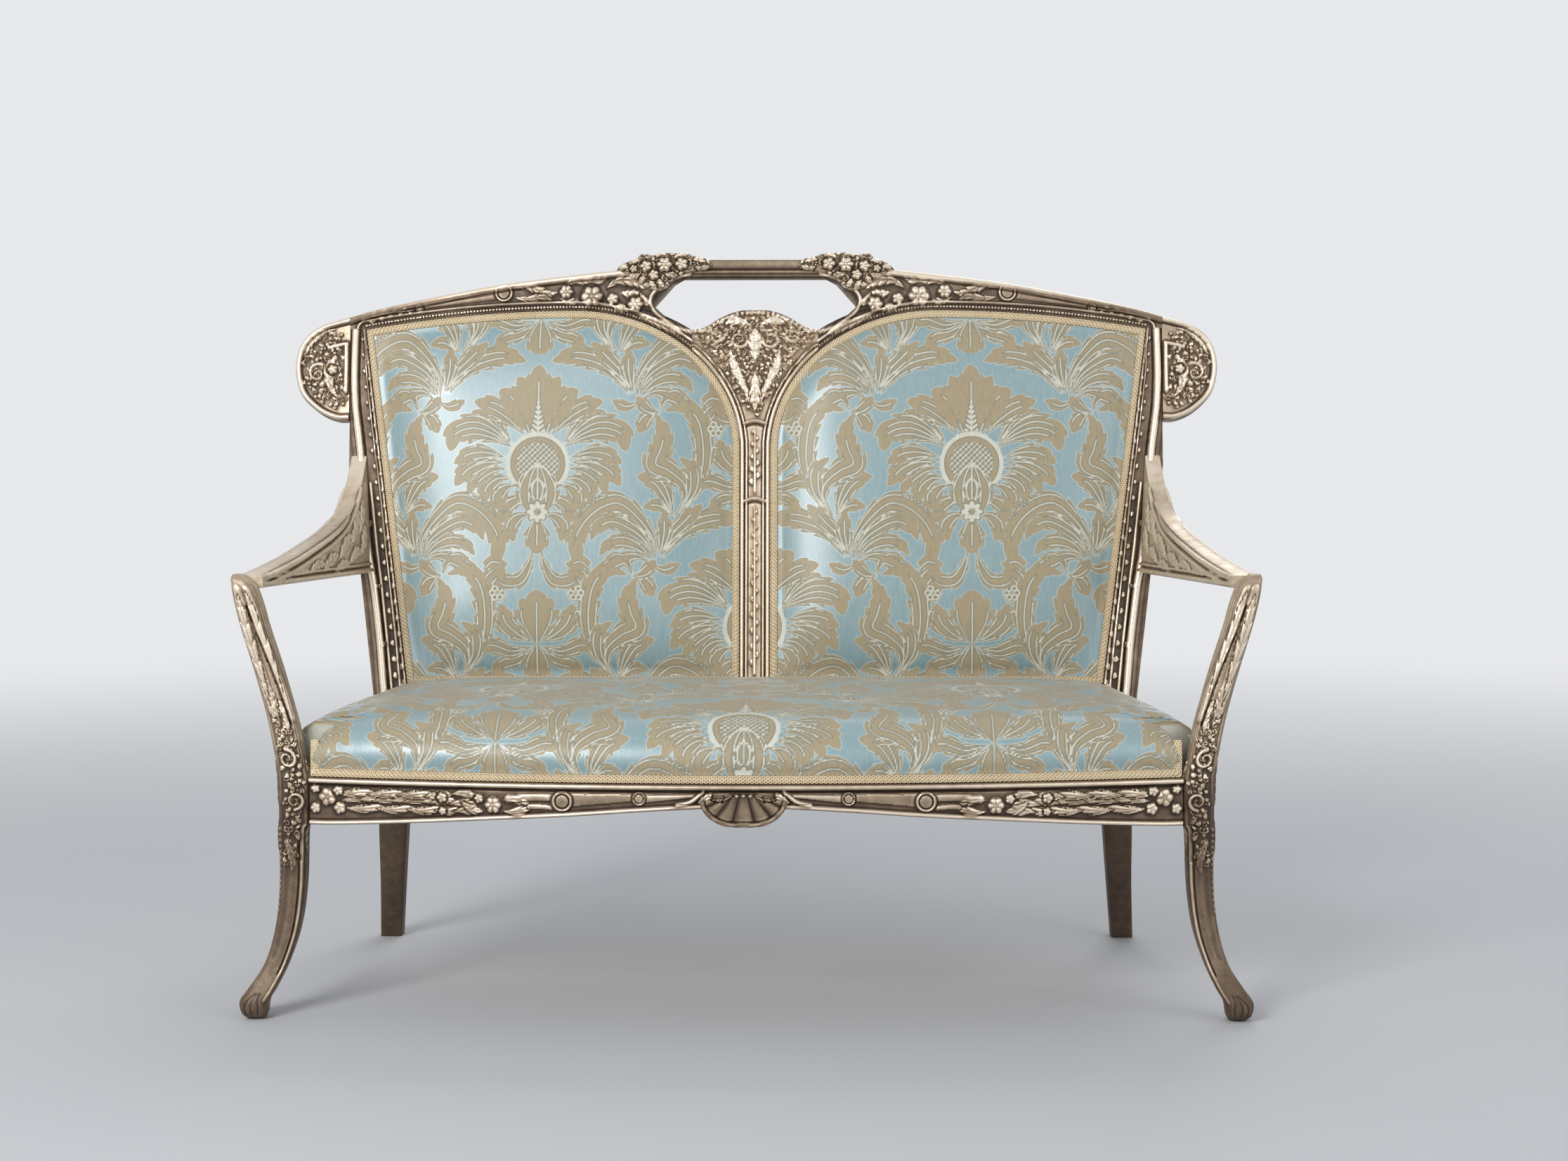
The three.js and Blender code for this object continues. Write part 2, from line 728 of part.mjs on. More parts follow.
function openingLoop(inset) {
  const low = lowerRailTop + inset;
  const [left, right] = [splatHalf + inset, stileInner(low) - inset];
  const cornerX = cornerAcross - inset;
  const cornerUp = panelTop(cornerX) - inset;
  const bottom = steps(6).map((s) => new THREE.Vector2(mix(left, right, s), low));
  const outer = steps(6).map((s) => new THREE.Vector2(mix(right, cornerX, s), mix(low, cornerUp, s)));
  const top = steps(6).map((s) => {
    const x = mix(cornerX, peakAcross, s);
    return new THREE.Vector2(x, panelTop(x) - inset);
  });
  const arch = steps(10).map((s) => archPoint((1 - s) * (Math.PI / 2), inset));
  const inner = steps(5).map((s) => new THREE.Vector2(left, mix(springRise, low, s)));
  return [bottom, outer, top, arch, inner].flatMap((part) => part.slice(0, -1));
}

// Crest rail: shares of the crest's half width and rise, and of the hand hole's half width and height
const crestTopShares = [
  [0, 1],
  [0.15, 0.99],
  [0.25, 0.93],
  [0.335, 0.86],
  [0.43, 0.8],
  [0.617, 0.66],
  [0.8, 0.46],
  [0.94, 0.28],
];
const holeShares = [
  [0.66, 1],
  [0.88, 0.83],
  [1, 0.52],
  [0.86, 0.2],
];
const domeShares = [
  [0.8, 0.14],
  [0.55, 0.62],
  [0.26, 0.94],
  [0, 1],
];
const crestTop = cornerRise + crestRise;
const holeTop = crestTop - gripThick;
const holeLow = holeTop - holeTall;
const spline = (points, count) => new THREE.SplineCurve(points).getPoints(count);

function crestOutline() {
  const jointX = headJoint + jointGap;
  const seat = cornerRise + jointGap;
  const top = spline(
    [
      ...crestTopShares.map(([x, y]) => new THREE.Vector2(stileOuterHead * x, cornerRise + crestRise * y)),
      new THREE.Vector2(stileOuterHead, cornerRise + crestEndRise),
    ],
    16,
  );
  const under = steps(8).map((s) => {
    const x = mix(cornerAcross, peakAcross, s);
    return new THREE.Vector2(x, panelTop(x) + jointGap);
  });
  const arch = steps(6).map((s) => archPoint(mix(Math.PI / 2, jointAngle, s), -jointGap));
  const endOfArch = new THREE.Vector2(jointX, archPoint(jointAngle, -jointGap).y);
  const hole = spline(
    [
      ...holeShares.map(([x, y]) => new THREE.Vector2(holeHalf * x, holeLow + holeTall * y)),
      new THREE.Vector2(jointX, holeLow),
    ],
    10,
  ).reverse();
  const half = [
    ...top,
    new THREE.Vector2(stileOuterHead, seat),
    ...under,
    ...arch.slice(1, -1),
    endOfArch,
    ...hole,
  ];
  return [...half, ...mirrored(half).slice(0, -1)];
}

const crest = sides.reduce(
  (made, [, side]) =>
    made
      .subtract(solidOf(box(...grown(...crestTenonBox(side), jointGap))))
      .subtract(solidOf(bore("x").translate(...headDowel(side)))),
  solidOf(plate(crestOutline(), crestThick)),
);
add("crest_rail", geometryOf(crest), silverLeaf, back);

// Centre splat: narrow between the panels, then spreading under the hand hole into a dome
const splatFoot = lowerRailTop + jointGap;
const splatTenonLow = lowerRailTop - lowerRailTall / 2;
const splatTenonHalf = splatHalf / 2;
const splatTenonBox = [
  [-splatTenonHalf, splatTenonLow, -splatThick / 2 - tenonThick / 2],
  [splatTenonHalf, splatFoot + overrun, tenonThick / 2 - splatThick / 2],
];

function splatOutline() {
  const arch = steps(8).map((s) => archPoint(mix(0, jointAngle, s)));
  const dome = spline(
    [
      new THREE.Vector2(headJoint, holeLow),
      ...domeShares.map(([x, y]) => new THREE.Vector2(headJoint * x, holeLow + domeTall * y)),
    ],
    10,
  );
  const half = [new THREE.Vector2(splatHalf, splatFoot), ...arch, ...dome];
  return [...half, ...mirrored(half).slice(1)];
}
const splat = sides.reduce(
  (made, [, side]) => made.subtract(solidOf(bore("x").translate(...headDowel(side)))),
  solidOf(plate(splatOutline(), splatThick)).add(solidOf(box(...splatTenonBox))),
);
add("centre_splat", geometryOf(splat), silverLeaf, back);
sides.forEach(([name, side]) =>
  add(`crest_dowel_${name}`, dowel("x").translate(...headDowel(side)), bareWood, back),
);

// Lower back rail, between the stiles
function lowerRail() {
  const [high, low] = [lowerRailTop, lowerRailBottom];
  const half = [
    new THREE.Vector2(stileInner(low) - jointGap, low),
    new THREE.Vector2(stileInner(high) - jointGap, high),
  ];
  const rail = solidOf(plate([...half, ...mirrored(half)], lowerRailThick));
  return sides
    .reduce((made, [, side]) => made.add(solidOf(box(...lowerTenonBox(side)))), rail)
    .subtract(solidOf(box(...grown(...splatTenonBox, jointGap))));
}
add("lower_back_rail", geometryOf(lowerRail()), silverLeaf, back);

// Ears, on the outer edge of the stile and the end of the crest
const earShares = [
  [0, 0],
  [0.25, 0.005],
  [0.56, 0.08],
  [0.87, 0.24],
  [1, 0.46],
  [0.96, 0.66],
  [0.8, 0.81],
  [0.5, 0.92],
  [0, 1],
];
sides.forEach(([name, side]) => {
  const low = cornerRise + crestEndRise - earTall;
  const points = earShares.map(
    ([x, y]) => new THREE.Vector2(side * (stileOuterHead + jointGap + earReach * x), low + earTall * y),
  );
  const ear = solidOf(plate(spline(points, 18), earThick, -earSetback));
  const cut = ear.subtract(solidOf(bore("x").translate(...earDowel(side))));
  add(`crest_ear_${name}`, geometryOf(cut), silverLeaf, back);
});

// Arms: shares of the arm's length, and of the rise of its top edge
const armShares = [
  [0, 0],
  [0.16, 0.05],
  [0.32, 0.11],
  [0.48, 0.19],
  [0.64, 0.28],
  [0.76, 0.38],
  [0.86, 0.53],
  [0.94, 0.74],
  [1, 1],
];

// One ring of an arm. The last lies on the sloping front face of the stile.
function armRing(side, [along, rise]) {
  const low = armUnder - armFall * along;
  const tall = armUnder + armThick + armSweep * rise - low;
  const centre = mix(armFrontCentre, armRearCentre, along);
  const wide = mix(armWide, armRearWide, along);
  const radius = armCornerShare * Math.min(wide, tall);
  return softSquare(wide, tall, radius).map((p) => {
    const z = low + tall / 2 + p.y;
    const stile = stileFront + (z - backBase) * Math.tan(recline) - jointGap;
    const y = mix(legSize + jointGap, stile, along);
    return new THREE.Vector3(side * (centre + p.x + armShear * (z - low)), y, z);
  });
}
sides.forEach(([name, side]) => {
  const arm = solidOf(loft(armShares.map((station) => armRing(side, station))))
    .subtract(solidOf(bore("y").translate(...armFrontDowel(side))))
    .subtract(fromBack(bore("z").translate(...armRearDowel(side))));
  add(`arm_${name}`, geometryOf(arm), silverLeaf);
});

// Seat webbing: straps both ways over the rails, sewn where they cross
const webLow = railTop + jointGap;
function webbing() {
  const deepStraps = range(webStrapsAcross).map((i) => {
    const reach = stileInnerFoot - webWide;
    const x = mix(-reach, reach, i / (webStrapsAcross - 1));
    const front = bowBack(Math.abs(x) + webWide / 2) - webSeat;
    return box([x - webWide / 2, front, webLow], [x + webWide / 2, rearRailFront + webSeat, webLow + webThick]);
  });
  const crossStraps = range(webStrapsDeep).map((i) => {
    const y = mix(legSize + webWide, stileFront - webWide, i / (webStrapsDeep - 1));
    const half = sideInner(y + webWide / 2) + webSeat;
    return box([-half, y - webWide / 2, webLow], [half, y + webWide / 2, webLow + webThick]);
  });
  return [...deepStraps, ...crossStraps].map(solidOf).reduce((a, b) => a.add(b));
}
add("seat_webbing", geometryOf(webbing()), jute);

// The seat's outline in plan, drawn in by inset: bowed front, notched round each arm support
const seatFrontHalf = legInner - seatNotch;
const seatSide = (y) => sideOuter(y) - seatSetback;
const seatRear = stileFront - seatRearGap;
function seatLoop(inset) {
  const half = seatFrontHalf - inset;
  const notch = legSize + seatNotch + inset;
  const rear = seatRear - inset;
  const flat = (x, y) => new THREE.Vector2(x, y);
  const front = steps(14).map((s) => {
    const x = mix(-half, half, s);
    return flat(x, bowFront(x) + seatSetback + inset);
  });
  const flank = steps(4).map((s) => {
    const y = mix(notch, rear, s);
    return flat(seatSide(y) - inset, y);
  });
  const rearHalf = seatSide(rear) - inset;
  const behind = steps(8).map((s) => flat(mix(rearHalf, -rearHalf, s), rear));
  const otherFlank = mirrored(flank);
  return [
    ...front,
    flat(half, notch),
    ...flank,
    ...behind.slice(1, -1),
    ...otherFlank,
    flat(-half, notch),
  ];
}

// The stuffing's sides and crown: insets of the outline, and shares of its two heights
const seatEdgeShares = [
  [0, 0],
  [0, 0.42],
  [0.35, 0.68],
  [1, 1],
];
const seatCrownShares = [
  [0.05, 0.3],
  [0.15, 0.58],
  [0.34, 0.82],
  [0.62, 0.96],
  [1, 1],
];
const seatTuck = 8; // how far the stuffing's side is drawn in
const seatBase = webLow + webThick + jointGap;
const coverLow = webLow + jointGap;

// The lower edge lies on the rails, but at the rear it lies on the straps.
function seatRings(offset, low) {
  const edgeTop = seatBase + seatEdgeTall;
  const foot = (p) => (p.y > stileFront - webWide ? seatBase : low);
  const edge = seatEdgeShares.map(([inset, rise]) => [
    seatTuck * inset - offset,
    (p) => mix(foot(p), edgeTop, rise) + (rise === 1 ? offset : 0),
  ]);
  const crown = seatCrownShares.map(([inset, rise]) => [
    seatTuck + (seatCrownReach - seatTuck) * inset - offset,
    () => edgeTop + seatCrown * rise + offset,
  ]);
  return [...edge, ...crown].map(([inset, height]) =>
    seatLoop(inset).map((p) => new THREE.Vector3(p.x, p.y, height(p))),
  );
}
add("seat_stuffing", loft(seatRings(0, seatBase)), horsehair);
add(
  "seat_cover",
  loft([
    ...seatRings(clothGap, coverLow).reverse(),
    ...seatRings(clothGap + coverThick, coverLow),
  ]),
  damask,
);

// Braid along the foot of the seat cover: front, and each side behind the arm support
const seatSkin = clothGap + coverThick;
function braidStrip(path) {
  const rings = path.map(({ at, out }) =>
    [
      [jointGap, 0],
      [jointGap + braidThick, 0],
      [jointGap + braidThick, braidWide],
      [jointGap, braidWide],
    ].map(([d, rise]) => new THREE.Vector3(at.x + out.x * d, at.y + out.y * d, coverLow + rise)),
  );
  return loft(rings);
}
const braidEnd = seatFrontHalf - braidWide / 2;
add(
  "seat_braid_front",
  braidStrip(
    steps(20).map((s) => {
      const x = mix(-braidEnd, braidEnd, s);
      return {
        at: new THREE.Vector2(x, bowFront(x) + seatSetback - seatSkin),
        out: new THREE.Vector2(0, -1),
      };
    }),
  ),
  goldBraid,
);
sides.forEach(([name, side]) =>
  add(
    `seat_braid_${name}`,
    braidStrip(
      steps(6).map((s) => {
        const y = mix(legSize + seatNotch, seatRear, s);
        return {
          at: new THREE.Vector2(side * (seatSide(y) + seatSkin), y),
          out: new THREE.Vector2(side, 0),
        };
      }),
    ),
    goldBraid,
  ),
);

// Back panels: stuffing with a flat rim and a crown, its cover, braid, webbing and outer cloth.
// Shares of the way from the rim to the middle, and of the crown's height.
const panelCrownShares = [
  [0.05, 0.3],
  [0.2, 0.68],
  [0.45, 0.93],
  [0.75, 1],
];
const panelMiddle = new THREE.Vector2(
  (splatHalf + cornerAcross) / 2,
  (lowerRailTop + cornerRise) / 2,
);
const lift = (loop, side, out) => loop.map((p) => new THREE.Vector3(side * p.x, p.y, out));

function panelRings(side, offset, edge) {
  const rim = openingLoop(panelRimWide - offset);
  const crown = panelCrownShares.map(([inset, rise]) =>
    lift(
      rim.map((p) => p.clone().lerp(panelMiddle, inset)),
      side,
      offset - panelRim + panelCrown * rise,
    ),
  );
  return [
    lift(openingLoop(edge), side, -panelDeep),
    lift(openingLoop(edge), side, offset - panelRim),
    lift(rim, side, offset - panelRim),
    ...crown,
  ];
}

const backStrapShares = [0.22, 0.5, 0.78];
const stuffingEdge = 2 * clothGap + coverThick;
const backWebFront = -panelDeep - jointGap;
function backWebbing(side) {
  const loop = openingLoop(clothGap).map((p) => new THREE.Vector2(side * p.x, p.y));
  const field = solidOf(plate(loop, backWebThick, backWebFront));
  const [left, right] = [splatHalf, stileInnerHead];
  const upright = backStrapShares.map((s) => mix(left, right, s));
  const level = backStrapShares.map((s) => mix(lowerRailTop, cornerRise, s));
  const [behind, before] = [backWebFront - backWebThick - overrun, backWebFront + overrun];
  const straps = [
    ...upright.map((x) =>
      acrossBox(side, [x - backWebWide / 2, lowerRailBottom, behind], [x + backWebWide / 2, crestTop, before]),
    ),
    ...level.map((y) =>
      acrossBox(side, [0, y - backWebWide / 2, behind], [stileOuterHead, y + backWebWide / 2, before]),
    ),
  ];
  const lattice = straps.map((ends) => solidOf(box(...ends))).reduce((a, b) => a.add(b));
  return field.intersect(lattice);
}

sides.forEach(([name, side]) => {
  add(`back_stuffing_${name}`, loft(panelRings(side, 0, stuffingEdge)), horsehair, back);
  const outside = panelRings(side, clothGap + coverThick, clothGap);
  const inside = panelRings(side, clothGap, clothGap + coverThick);
  add(`back_cover_${name}`, loft([...inside.reverse(), ...outside]), damask, back);

  const braidFoot = seatSkin - panelRim + jointGap;
  const loops = [clothGap, clothGap + braidWide].map(openingLoop);
  const rings = range(loops[0].length).map((i) =>
    [
      [0, 0],
      [1, 0],
      [1, braidThick],
      [0, braidThick],
    ].map(([k, rise]) => new THREE.Vector3(side * loops[k][i].x, loops[k][i].y, braidFoot + rise)),
  );
  add(`back_braid_${name}`, ringLoft(rings), goldBraid, back);
  add(`back_webbing_${name}`, geometryOf(backWebbing(side)), jute, back);
  const cloth = openingLoop(clothGap).map((p) => new THREE.Vector2(side * p.x, p.y));
  add(`outside_back_cloth_${name}`, plate(cloth, outerClothThick, -outerClothDepth), damask, back);
});

// Carved shell in the middle of the front rail, and a carved bouquet at each end of the grip
function petals(halfWide, tall, lobes, flatTop) {
  return range(40).map((i) => {
    const angle = (i / 40) * 2 * Math.PI;
    const reach = 1 - petalShare + petalShare * Math.cos(lobes * angle);
    const up = Math.sin(angle) * (tall / 2) * reach;
    return new THREE.Vector2(Math.cos(angle) * halfWide * reach, Math.min(up, flatTop));
  });
}

// Shares of the outline's size and of the height over the ground
const moundShares = [
  [1, 0],
  [1, 0.33],
  [0.86, 0.72],
  [0.5, 1],
];
const mound = (outline, proud) =>
  loft(
    moundShares.map(([size, out]) =>
      outline.map((p) => new THREE.Vector3(p.x * size, p.y * size, out * proud)),
    ),
  );

const shellTop = railTop - lipTall - jointGap;
const shellFlat = (shellTall / 2) * shellFlatShare;
const shell = mound(petals(shellHalf, shellTall, 9, shellFlat), shellProud)
  .rotateX(Math.PI / 2)
  .translate(0, bowFront(0) - beadOut - jointGap, shellTop - shellFlat);
add("apron_shell", shell, silverLeaf);

sides.forEach(([name, side]) => {
  const up = crestTop + bouquetOver - bouquetTall / 2;
  const bouquet = mound(petals(bouquetHalf, bouquetTall, 11, bouquetTall), bouquetProud);
  add(
    `crest_bouquet_${name}`,
    bouquet.translate(side * bouquetAcross, up, jointGap),
    silverLeaf,
    back,
  );
});

// The origin is under the middle of the whole sofa, on the floor.
const extent = new THREE.Box3().setFromObject(sofa);
sofa.position.y = -(extent.min.y + extent.max.y) / 2;

export default sofa;
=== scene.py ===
"""A cabriole sofa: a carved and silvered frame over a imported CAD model, with a stuffed seat and two
stuffed back panels in a blue and taupe damask. Blender 4.5, in metres, +Z up, front facing -Y."""

import math

import bpy
import numpy as np
from mathutils import Matrix, Vector


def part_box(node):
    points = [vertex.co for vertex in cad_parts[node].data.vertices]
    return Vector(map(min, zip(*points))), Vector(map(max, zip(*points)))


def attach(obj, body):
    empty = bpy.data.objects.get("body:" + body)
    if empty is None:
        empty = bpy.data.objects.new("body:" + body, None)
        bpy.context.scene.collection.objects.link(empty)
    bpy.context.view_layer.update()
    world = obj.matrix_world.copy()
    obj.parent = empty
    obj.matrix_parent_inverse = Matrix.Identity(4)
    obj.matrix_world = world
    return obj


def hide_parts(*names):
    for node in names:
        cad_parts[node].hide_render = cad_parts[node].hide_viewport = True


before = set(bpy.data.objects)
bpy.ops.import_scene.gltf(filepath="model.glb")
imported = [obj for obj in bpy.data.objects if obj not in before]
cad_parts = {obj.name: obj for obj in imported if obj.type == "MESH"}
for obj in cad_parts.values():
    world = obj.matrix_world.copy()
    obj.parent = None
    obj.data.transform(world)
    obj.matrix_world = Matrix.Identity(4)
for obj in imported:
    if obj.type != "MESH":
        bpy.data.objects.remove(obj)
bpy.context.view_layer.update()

# The studio: a pale floor that runs on behind the sofa, a large soft lamp overhead to the left, and
# a weaker one at the right. The camera stands where the photograph was taken, at eye height.
PHOTO_WIDTH = 2232
FOCAL_PIXELS = 3681.66
EYE = (0.111, -3.6277, 0.8748)  # from the middle of the front feet
YAW, PITCH, ROLL = -0.0153, -0.0687, -0.0011
FEET_TO_REAR_RAIL = 0.505  # front of the front legs to the face of the rear seat rail
front_of_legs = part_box("rear_seat_rail")[0].y - FEET_TO_REAR_RAIL

forward = Vector((math.sin(YAW) * math.cos(PITCH), math.cos(YAW) * math.cos(PITCH), math.sin(PITCH)))
across = forward.cross(Vector((0, 0, 1))).normalized()
above = across.cross(forward)
turned_across = across * math.cos(ROLL) + above * math.sin(ROLL)
turned_above = above * math.cos(ROLL) - across * math.sin(ROLL)
camera_data = bpy.data.cameras.new("camera")
camera_data.lens = FOCAL_PIXELS / PHOTO_WIDTH * camera_data.sensor_width
camera = bpy.data.objects.new("camera", camera_data)
bpy.context.scene.collection.objects.link(camera)
camera.matrix_world = Matrix.Translation((EYE[0], EYE[1] + front_of_legs, EYE[2])) @ Matrix(
    (turned_across, turned_above, -forward)
).transposed().to_4x4()
bpy.context.scene.camera = camera


SOFA_MIDDLE = Vector((0, 0, 0.6))


def soft_lamp(name, place, size, power):
    """A square area lamp at place that faces the middle of the sofa."""
    data = bpy.data.lights.new(name, "AREA")
    data.size, data.energy = size, power
    lamp = bpy.data.objects.new(name, data)
    bpy.context.scene.collection.objects.link(lamp)
    lamp.location = place
    lamp.rotation_euler = (SOFA_MIDDLE - Vector(place)).to_track_quat("-Z", "Y").to_euler()


soft_lamp("key_lamp", (-2.0, -3.7, 2.5), 1.6, 118)
soft_lamp("fill_lamp", (2.8, -2.4, 2.0), 2.4, 22)
soft_lamp("rear_lamp", (0.6, 3.0, 3.0), 2.4, 40)

world = bpy.data.worlds.new("studio")
bpy.context.scene.world = world
world.use_nodes = True


def maths(tree, operation, *values):
    """A Math node. Each value is a number or an output socket."""
    node = tree.nodes.new("ShaderNodeMath")
    node.operation = operation
    for socket, value in zip(node.inputs, values):
        if isinstance(value, (int, float)):
            socket.default_value = value
        else:
            tree.links.new(value, socket)
    return node.outputs[0]


def pale_backdrop(tree, lit, backdrop, surface, share=None):
    """Shows backdrop to camera, glossy and transmission rays, by share if given, and lit to others."""
    rays = tree.nodes.new("ShaderNodeLightPath").outputs
    seen = maths(tree, "MAXIMUM", rays["Is Camera Ray"], rays["Is Transmission Ray"])
    seen = maths(tree, "MAXIMUM", seen, rays["Is Glossy Ray"])
    mix = tree.nodes.new("ShaderNodeMixShader")
    tree.links.new(maths(tree, "MULTIPLY", seen, share) if share else seen, mix.inputs[0])
    tree.links.new(lit, mix.inputs[1])
    tree.links.new(backdrop, mix.inputs[2])
    tree.links.new(mix.outputs[0], surface)


sky, pale = world.node_tree.nodes["Background"], world.node_tree.nodes.new("ShaderNodeBackground")
sky.inputs["Color"].default_value = (0.86, 0.9, 0.95, 1)
sky.inputs["Strength"].default_value = 0.42
PALE = (0.8, 0.81, 0.83, 1)
pale.inputs["Color"].default_value = PALE
world_surface = world.node_tree.nodes["World Output"].inputs["Surface"]
pale_backdrop(world.node_tree, sky.outputs[0], pale.outputs[0], world_surface)

FLOOR_REACH = 60.0
HAZE_START, HAZE_END = 1.3, 5.5  # where the floor begins to fade into the backdrop, and has faded
floor_mesh = bpy.data.meshes.new("floor")
corner = np.array([[-1, -1, 0], [1, -1, 0], [1, 1, 0], [-1, 1, 0]]) * FLOOR_REACH
floor_mesh.from_pydata(corner.tolist(), [], [(0, 1, 2, 3)])
floor = bpy.data.objects.new("floor", floor_mesh)
bpy.context.scene.collection.objects.link(floor)
floor_paint = bpy.data.materials.new("pale_floor")
floor_paint.use_nodes = True
floor_tree = floor_paint.node_tree
floor_paint_shader = floor_tree.nodes["Principled BSDF"]
floor_paint_shader.inputs["Base Color"].default_value = (0.62, 0.63, 0.65, 1)
floor_paint_shader.inputs["Roughness"].default_value = 0.75
haze = floor_tree.nodes.new("ShaderNodeEmission")
haze.inputs["Color"].default_value = PALE
far = floor_tree.nodes.new("ShaderNodeVectorMath")
far.operation = "LENGTH"
floor_tree.links.new(floor_tree.nodes.new("ShaderNodeTexCoord").outputs["Object"], far.inputs[0])
fade = floor_tree.nodes.new("ShaderNodeMapRange")
fade.interpolation_type = "SMOOTHSTEP"
fade.inputs["From Min"].default_value, fade.inputs["From Max"].default_value = HAZE_START, HAZE_END
floor_tree.links.new(far.outputs["Value"], fade.inputs["Value"])
floor_surface = floor_tree.nodes["Material Output"].inputs["Surface"]
pale_backdrop(floor_tree, floor_paint_shader.outputs[0], haze.outputs[0], floor_surface, fade.outputs[0])
floor_mesh.materials.append(floor_paint)
bpy.context.scene.view_settings.view_transform = "Standard"


# The frame's finish: silver leaf over gesso on beech, rubbed bright on the high points and toned
# with brown wax, which stays in the hollows. Carved pieces carry how raised each point is.
def node_group(name, **inputs):
    """A new shader node group with a socket for each input, its sockets, and the place on the piece."""
    group = bpy.data.node_groups.new(name, "ShaderNodeTree")
    for socket, value in inputs.items():
        kind = "NodeSocketColor" if isinstance(value, tuple) else "NodeSocketFloat"
        group.interface.new_socket(socket, in_out="INPUT", socket_type=kind).default_value = value
    place = group.nodes.new("ShaderNodeTexCoord").outputs["Object"]
    return group, group.nodes.new("NodeGroupInput").outputs, place


def with_outputs(group, **results):
    """The group with an output for each result: a colour where it is called Color, else a number."""
    for socket in results:
        kind = "NodeSocketColor" if socket == "Color" else "NodeSocketFloat"
        group.interface.new_socket(socket, in_out="OUTPUT", socket_type=kind)
    end = group.nodes.new("NodeGroupOutput")
    for socket, value in results.items():
        group.links.new(value, end.inputs[socket])
    return group


def noise(tree, coordinates, scale, detail=3.0, stretch=None):
    """Noise of the given scale per metre, stretched along the axes where stretch is given."""
    node = tree.nodes.new("ShaderNodeTexNoise")
    node.inputs["Scale"].default_value = scale
    node.inputs["Detail"].default_value = detail
    if stretch:
        mapping = tree.nodes.new("ShaderNodeMapping")
        mapping.inputs["Scale"].default_value = stretch
        tree.links.new(coordinates, mapping.inputs["Vector"])
        coordinates = mapping.outputs[0]
    tree.links.new(coordinates, node.inputs["Vector"])
    return node.outputs["Fac"]


def ramp(tree, factor, stops):
    """A colour ramp with stops of (place, colour)."""
    node = tree.nodes.new("ShaderNodeValToRGB")
    while len(node.color_ramp.elements) < len(stops):
        node.color_ramp.elements.new(0.5)
    for element, (place, colour) in zip(node.color_ramp.elements, stops):
        element.position, element.color = place, (*colour, 1)
    tree.links.new(factor, node.inputs["Fac"])
    return node.outputs["Color"]


def blend_colour(tree, factor, first, second):
    """Mixes two colours, each a socket or a tuple."""
    node = tree.nodes.new("ShaderNodeMix")
    node.data_type = "RGBA"
    for socket, value in zip((node.inputs[0], node.inputs[6], node.inputs[7]), (factor, first, second)):
        if isinstance(value, tuple):
            socket.default_value = (*value, 1)
        elif isinstance(value, (int, float)):
            socket.default_value = value
        else:
            tree.links.new(value, socket)
    return node.outputs[2]


def aged_leaf_group():
    """Colour, roughness and height of toned silver leaf. Raised runs from -1, a deep hollow, to 1."""
    group, given, place = node_group("aged_leaf", Raised=0, Tone=0)
    patches = noise(group, place, 9, 4)
    rubbed = noise(group, place, 70, 5)
    specks = noise(group, place, 420, 2)
    level = maths(group, "MULTIPLY_ADD", given["Raised"], 0.5, 0.5)
    level = maths(group, "ADD", level, given["Tone"])
    level = maths(group, "MULTIPLY_ADD", maths(group, "SUBTRACT", patches, 0.5), 0.3, level)
    level = maths(group, "MULTIPLY_ADD", maths(group, "SUBTRACT", rubbed, 0.5), 0.32, level)
    level = maths(group, "MULTIPLY_ADD", maths(group, "SUBTRACT", specks, 0.5), 0.16, level)
    colour = ramp(group, level, [
        (0.04, (0.04, 0.023, 0.013)), (0.24, (0.12, 0.077, 0.046)), (0.42, (0.25, 0.178, 0.116)),
        (0.6, (0.44, 0.335, 0.235)), (0.86, (0.83, 0.71, 0.56)),
    ])
    shine = maths(group, "MAXIMUM", maths(group, "MULTIPLY_ADD", level, -0.38, 0.66), 0.26)
    grit = maths(group, "MULTIPLY_ADD", rubbed, 0.6, maths(group, "MULTIPLY", specks, 0.4))
    metallic = maths(group, "MULTIPLY", level, 0.7)
    return with_outputs(group, Color=colour, Roughness=shine, Metallic=metallic, Height=grit)


aged_leaf = aged_leaf_group()


def grouped_material(name, group, values, linked, bump, bump_size=0.001, **fixed):
    """A Principled material fed by one node group. linked maps group inputs to fields of the mesh."""
    material = bpy.data.materials.new(name)
    material.use_nodes = True
    tree = material.node_tree
    shader = tree.nodes["Principled BSDF"]
    node = tree.nodes.new("ShaderNodeGroup")
    node.node_tree = group
    for socket, value in values.items():
        node.inputs[socket].default_value = value
    for socket, attribute in linked.items():
        read = tree.nodes.new("ShaderNodeAttribute")
        read.attribute_name = attribute
        tree.links.new(read.outputs["Fac"], node.inputs[socket])
    feeds = {"Color": "Base Color", "Roughness": "Roughness", "Metallic": "Metallic", "Coat": "Coat Weight"}
    for output, socket in feeds.items():
        if output in node.outputs:
            tree.links.new(node.outputs[output], shader.inputs[socket])
    ripple = tree.nodes.new("ShaderNodeBump")
    ripple.inputs["Strength"].default_value = bump
    ripple.inputs["Distance"].default_value = bump_size
    tree.links.new(node.outputs["Height"], ripple.inputs["Height"])
    tree.links.new(ripple.outputs["Normal"], shader.inputs["Normal"])
    for socket, value in fixed.items():
        shader.inputs[socket.replace("_", " ")].default_value = value
    return material


silvered = grouped_material("silver_leaf", aged_leaf, {"Tone": 0.03}, {"Raised": "raised"}, 0.3)
silvered_plain = grouped_material("silver_leaf_plain", aged_leaf, {"Raised": -0.05, "Tone": 0.0}, {}, 0.3)


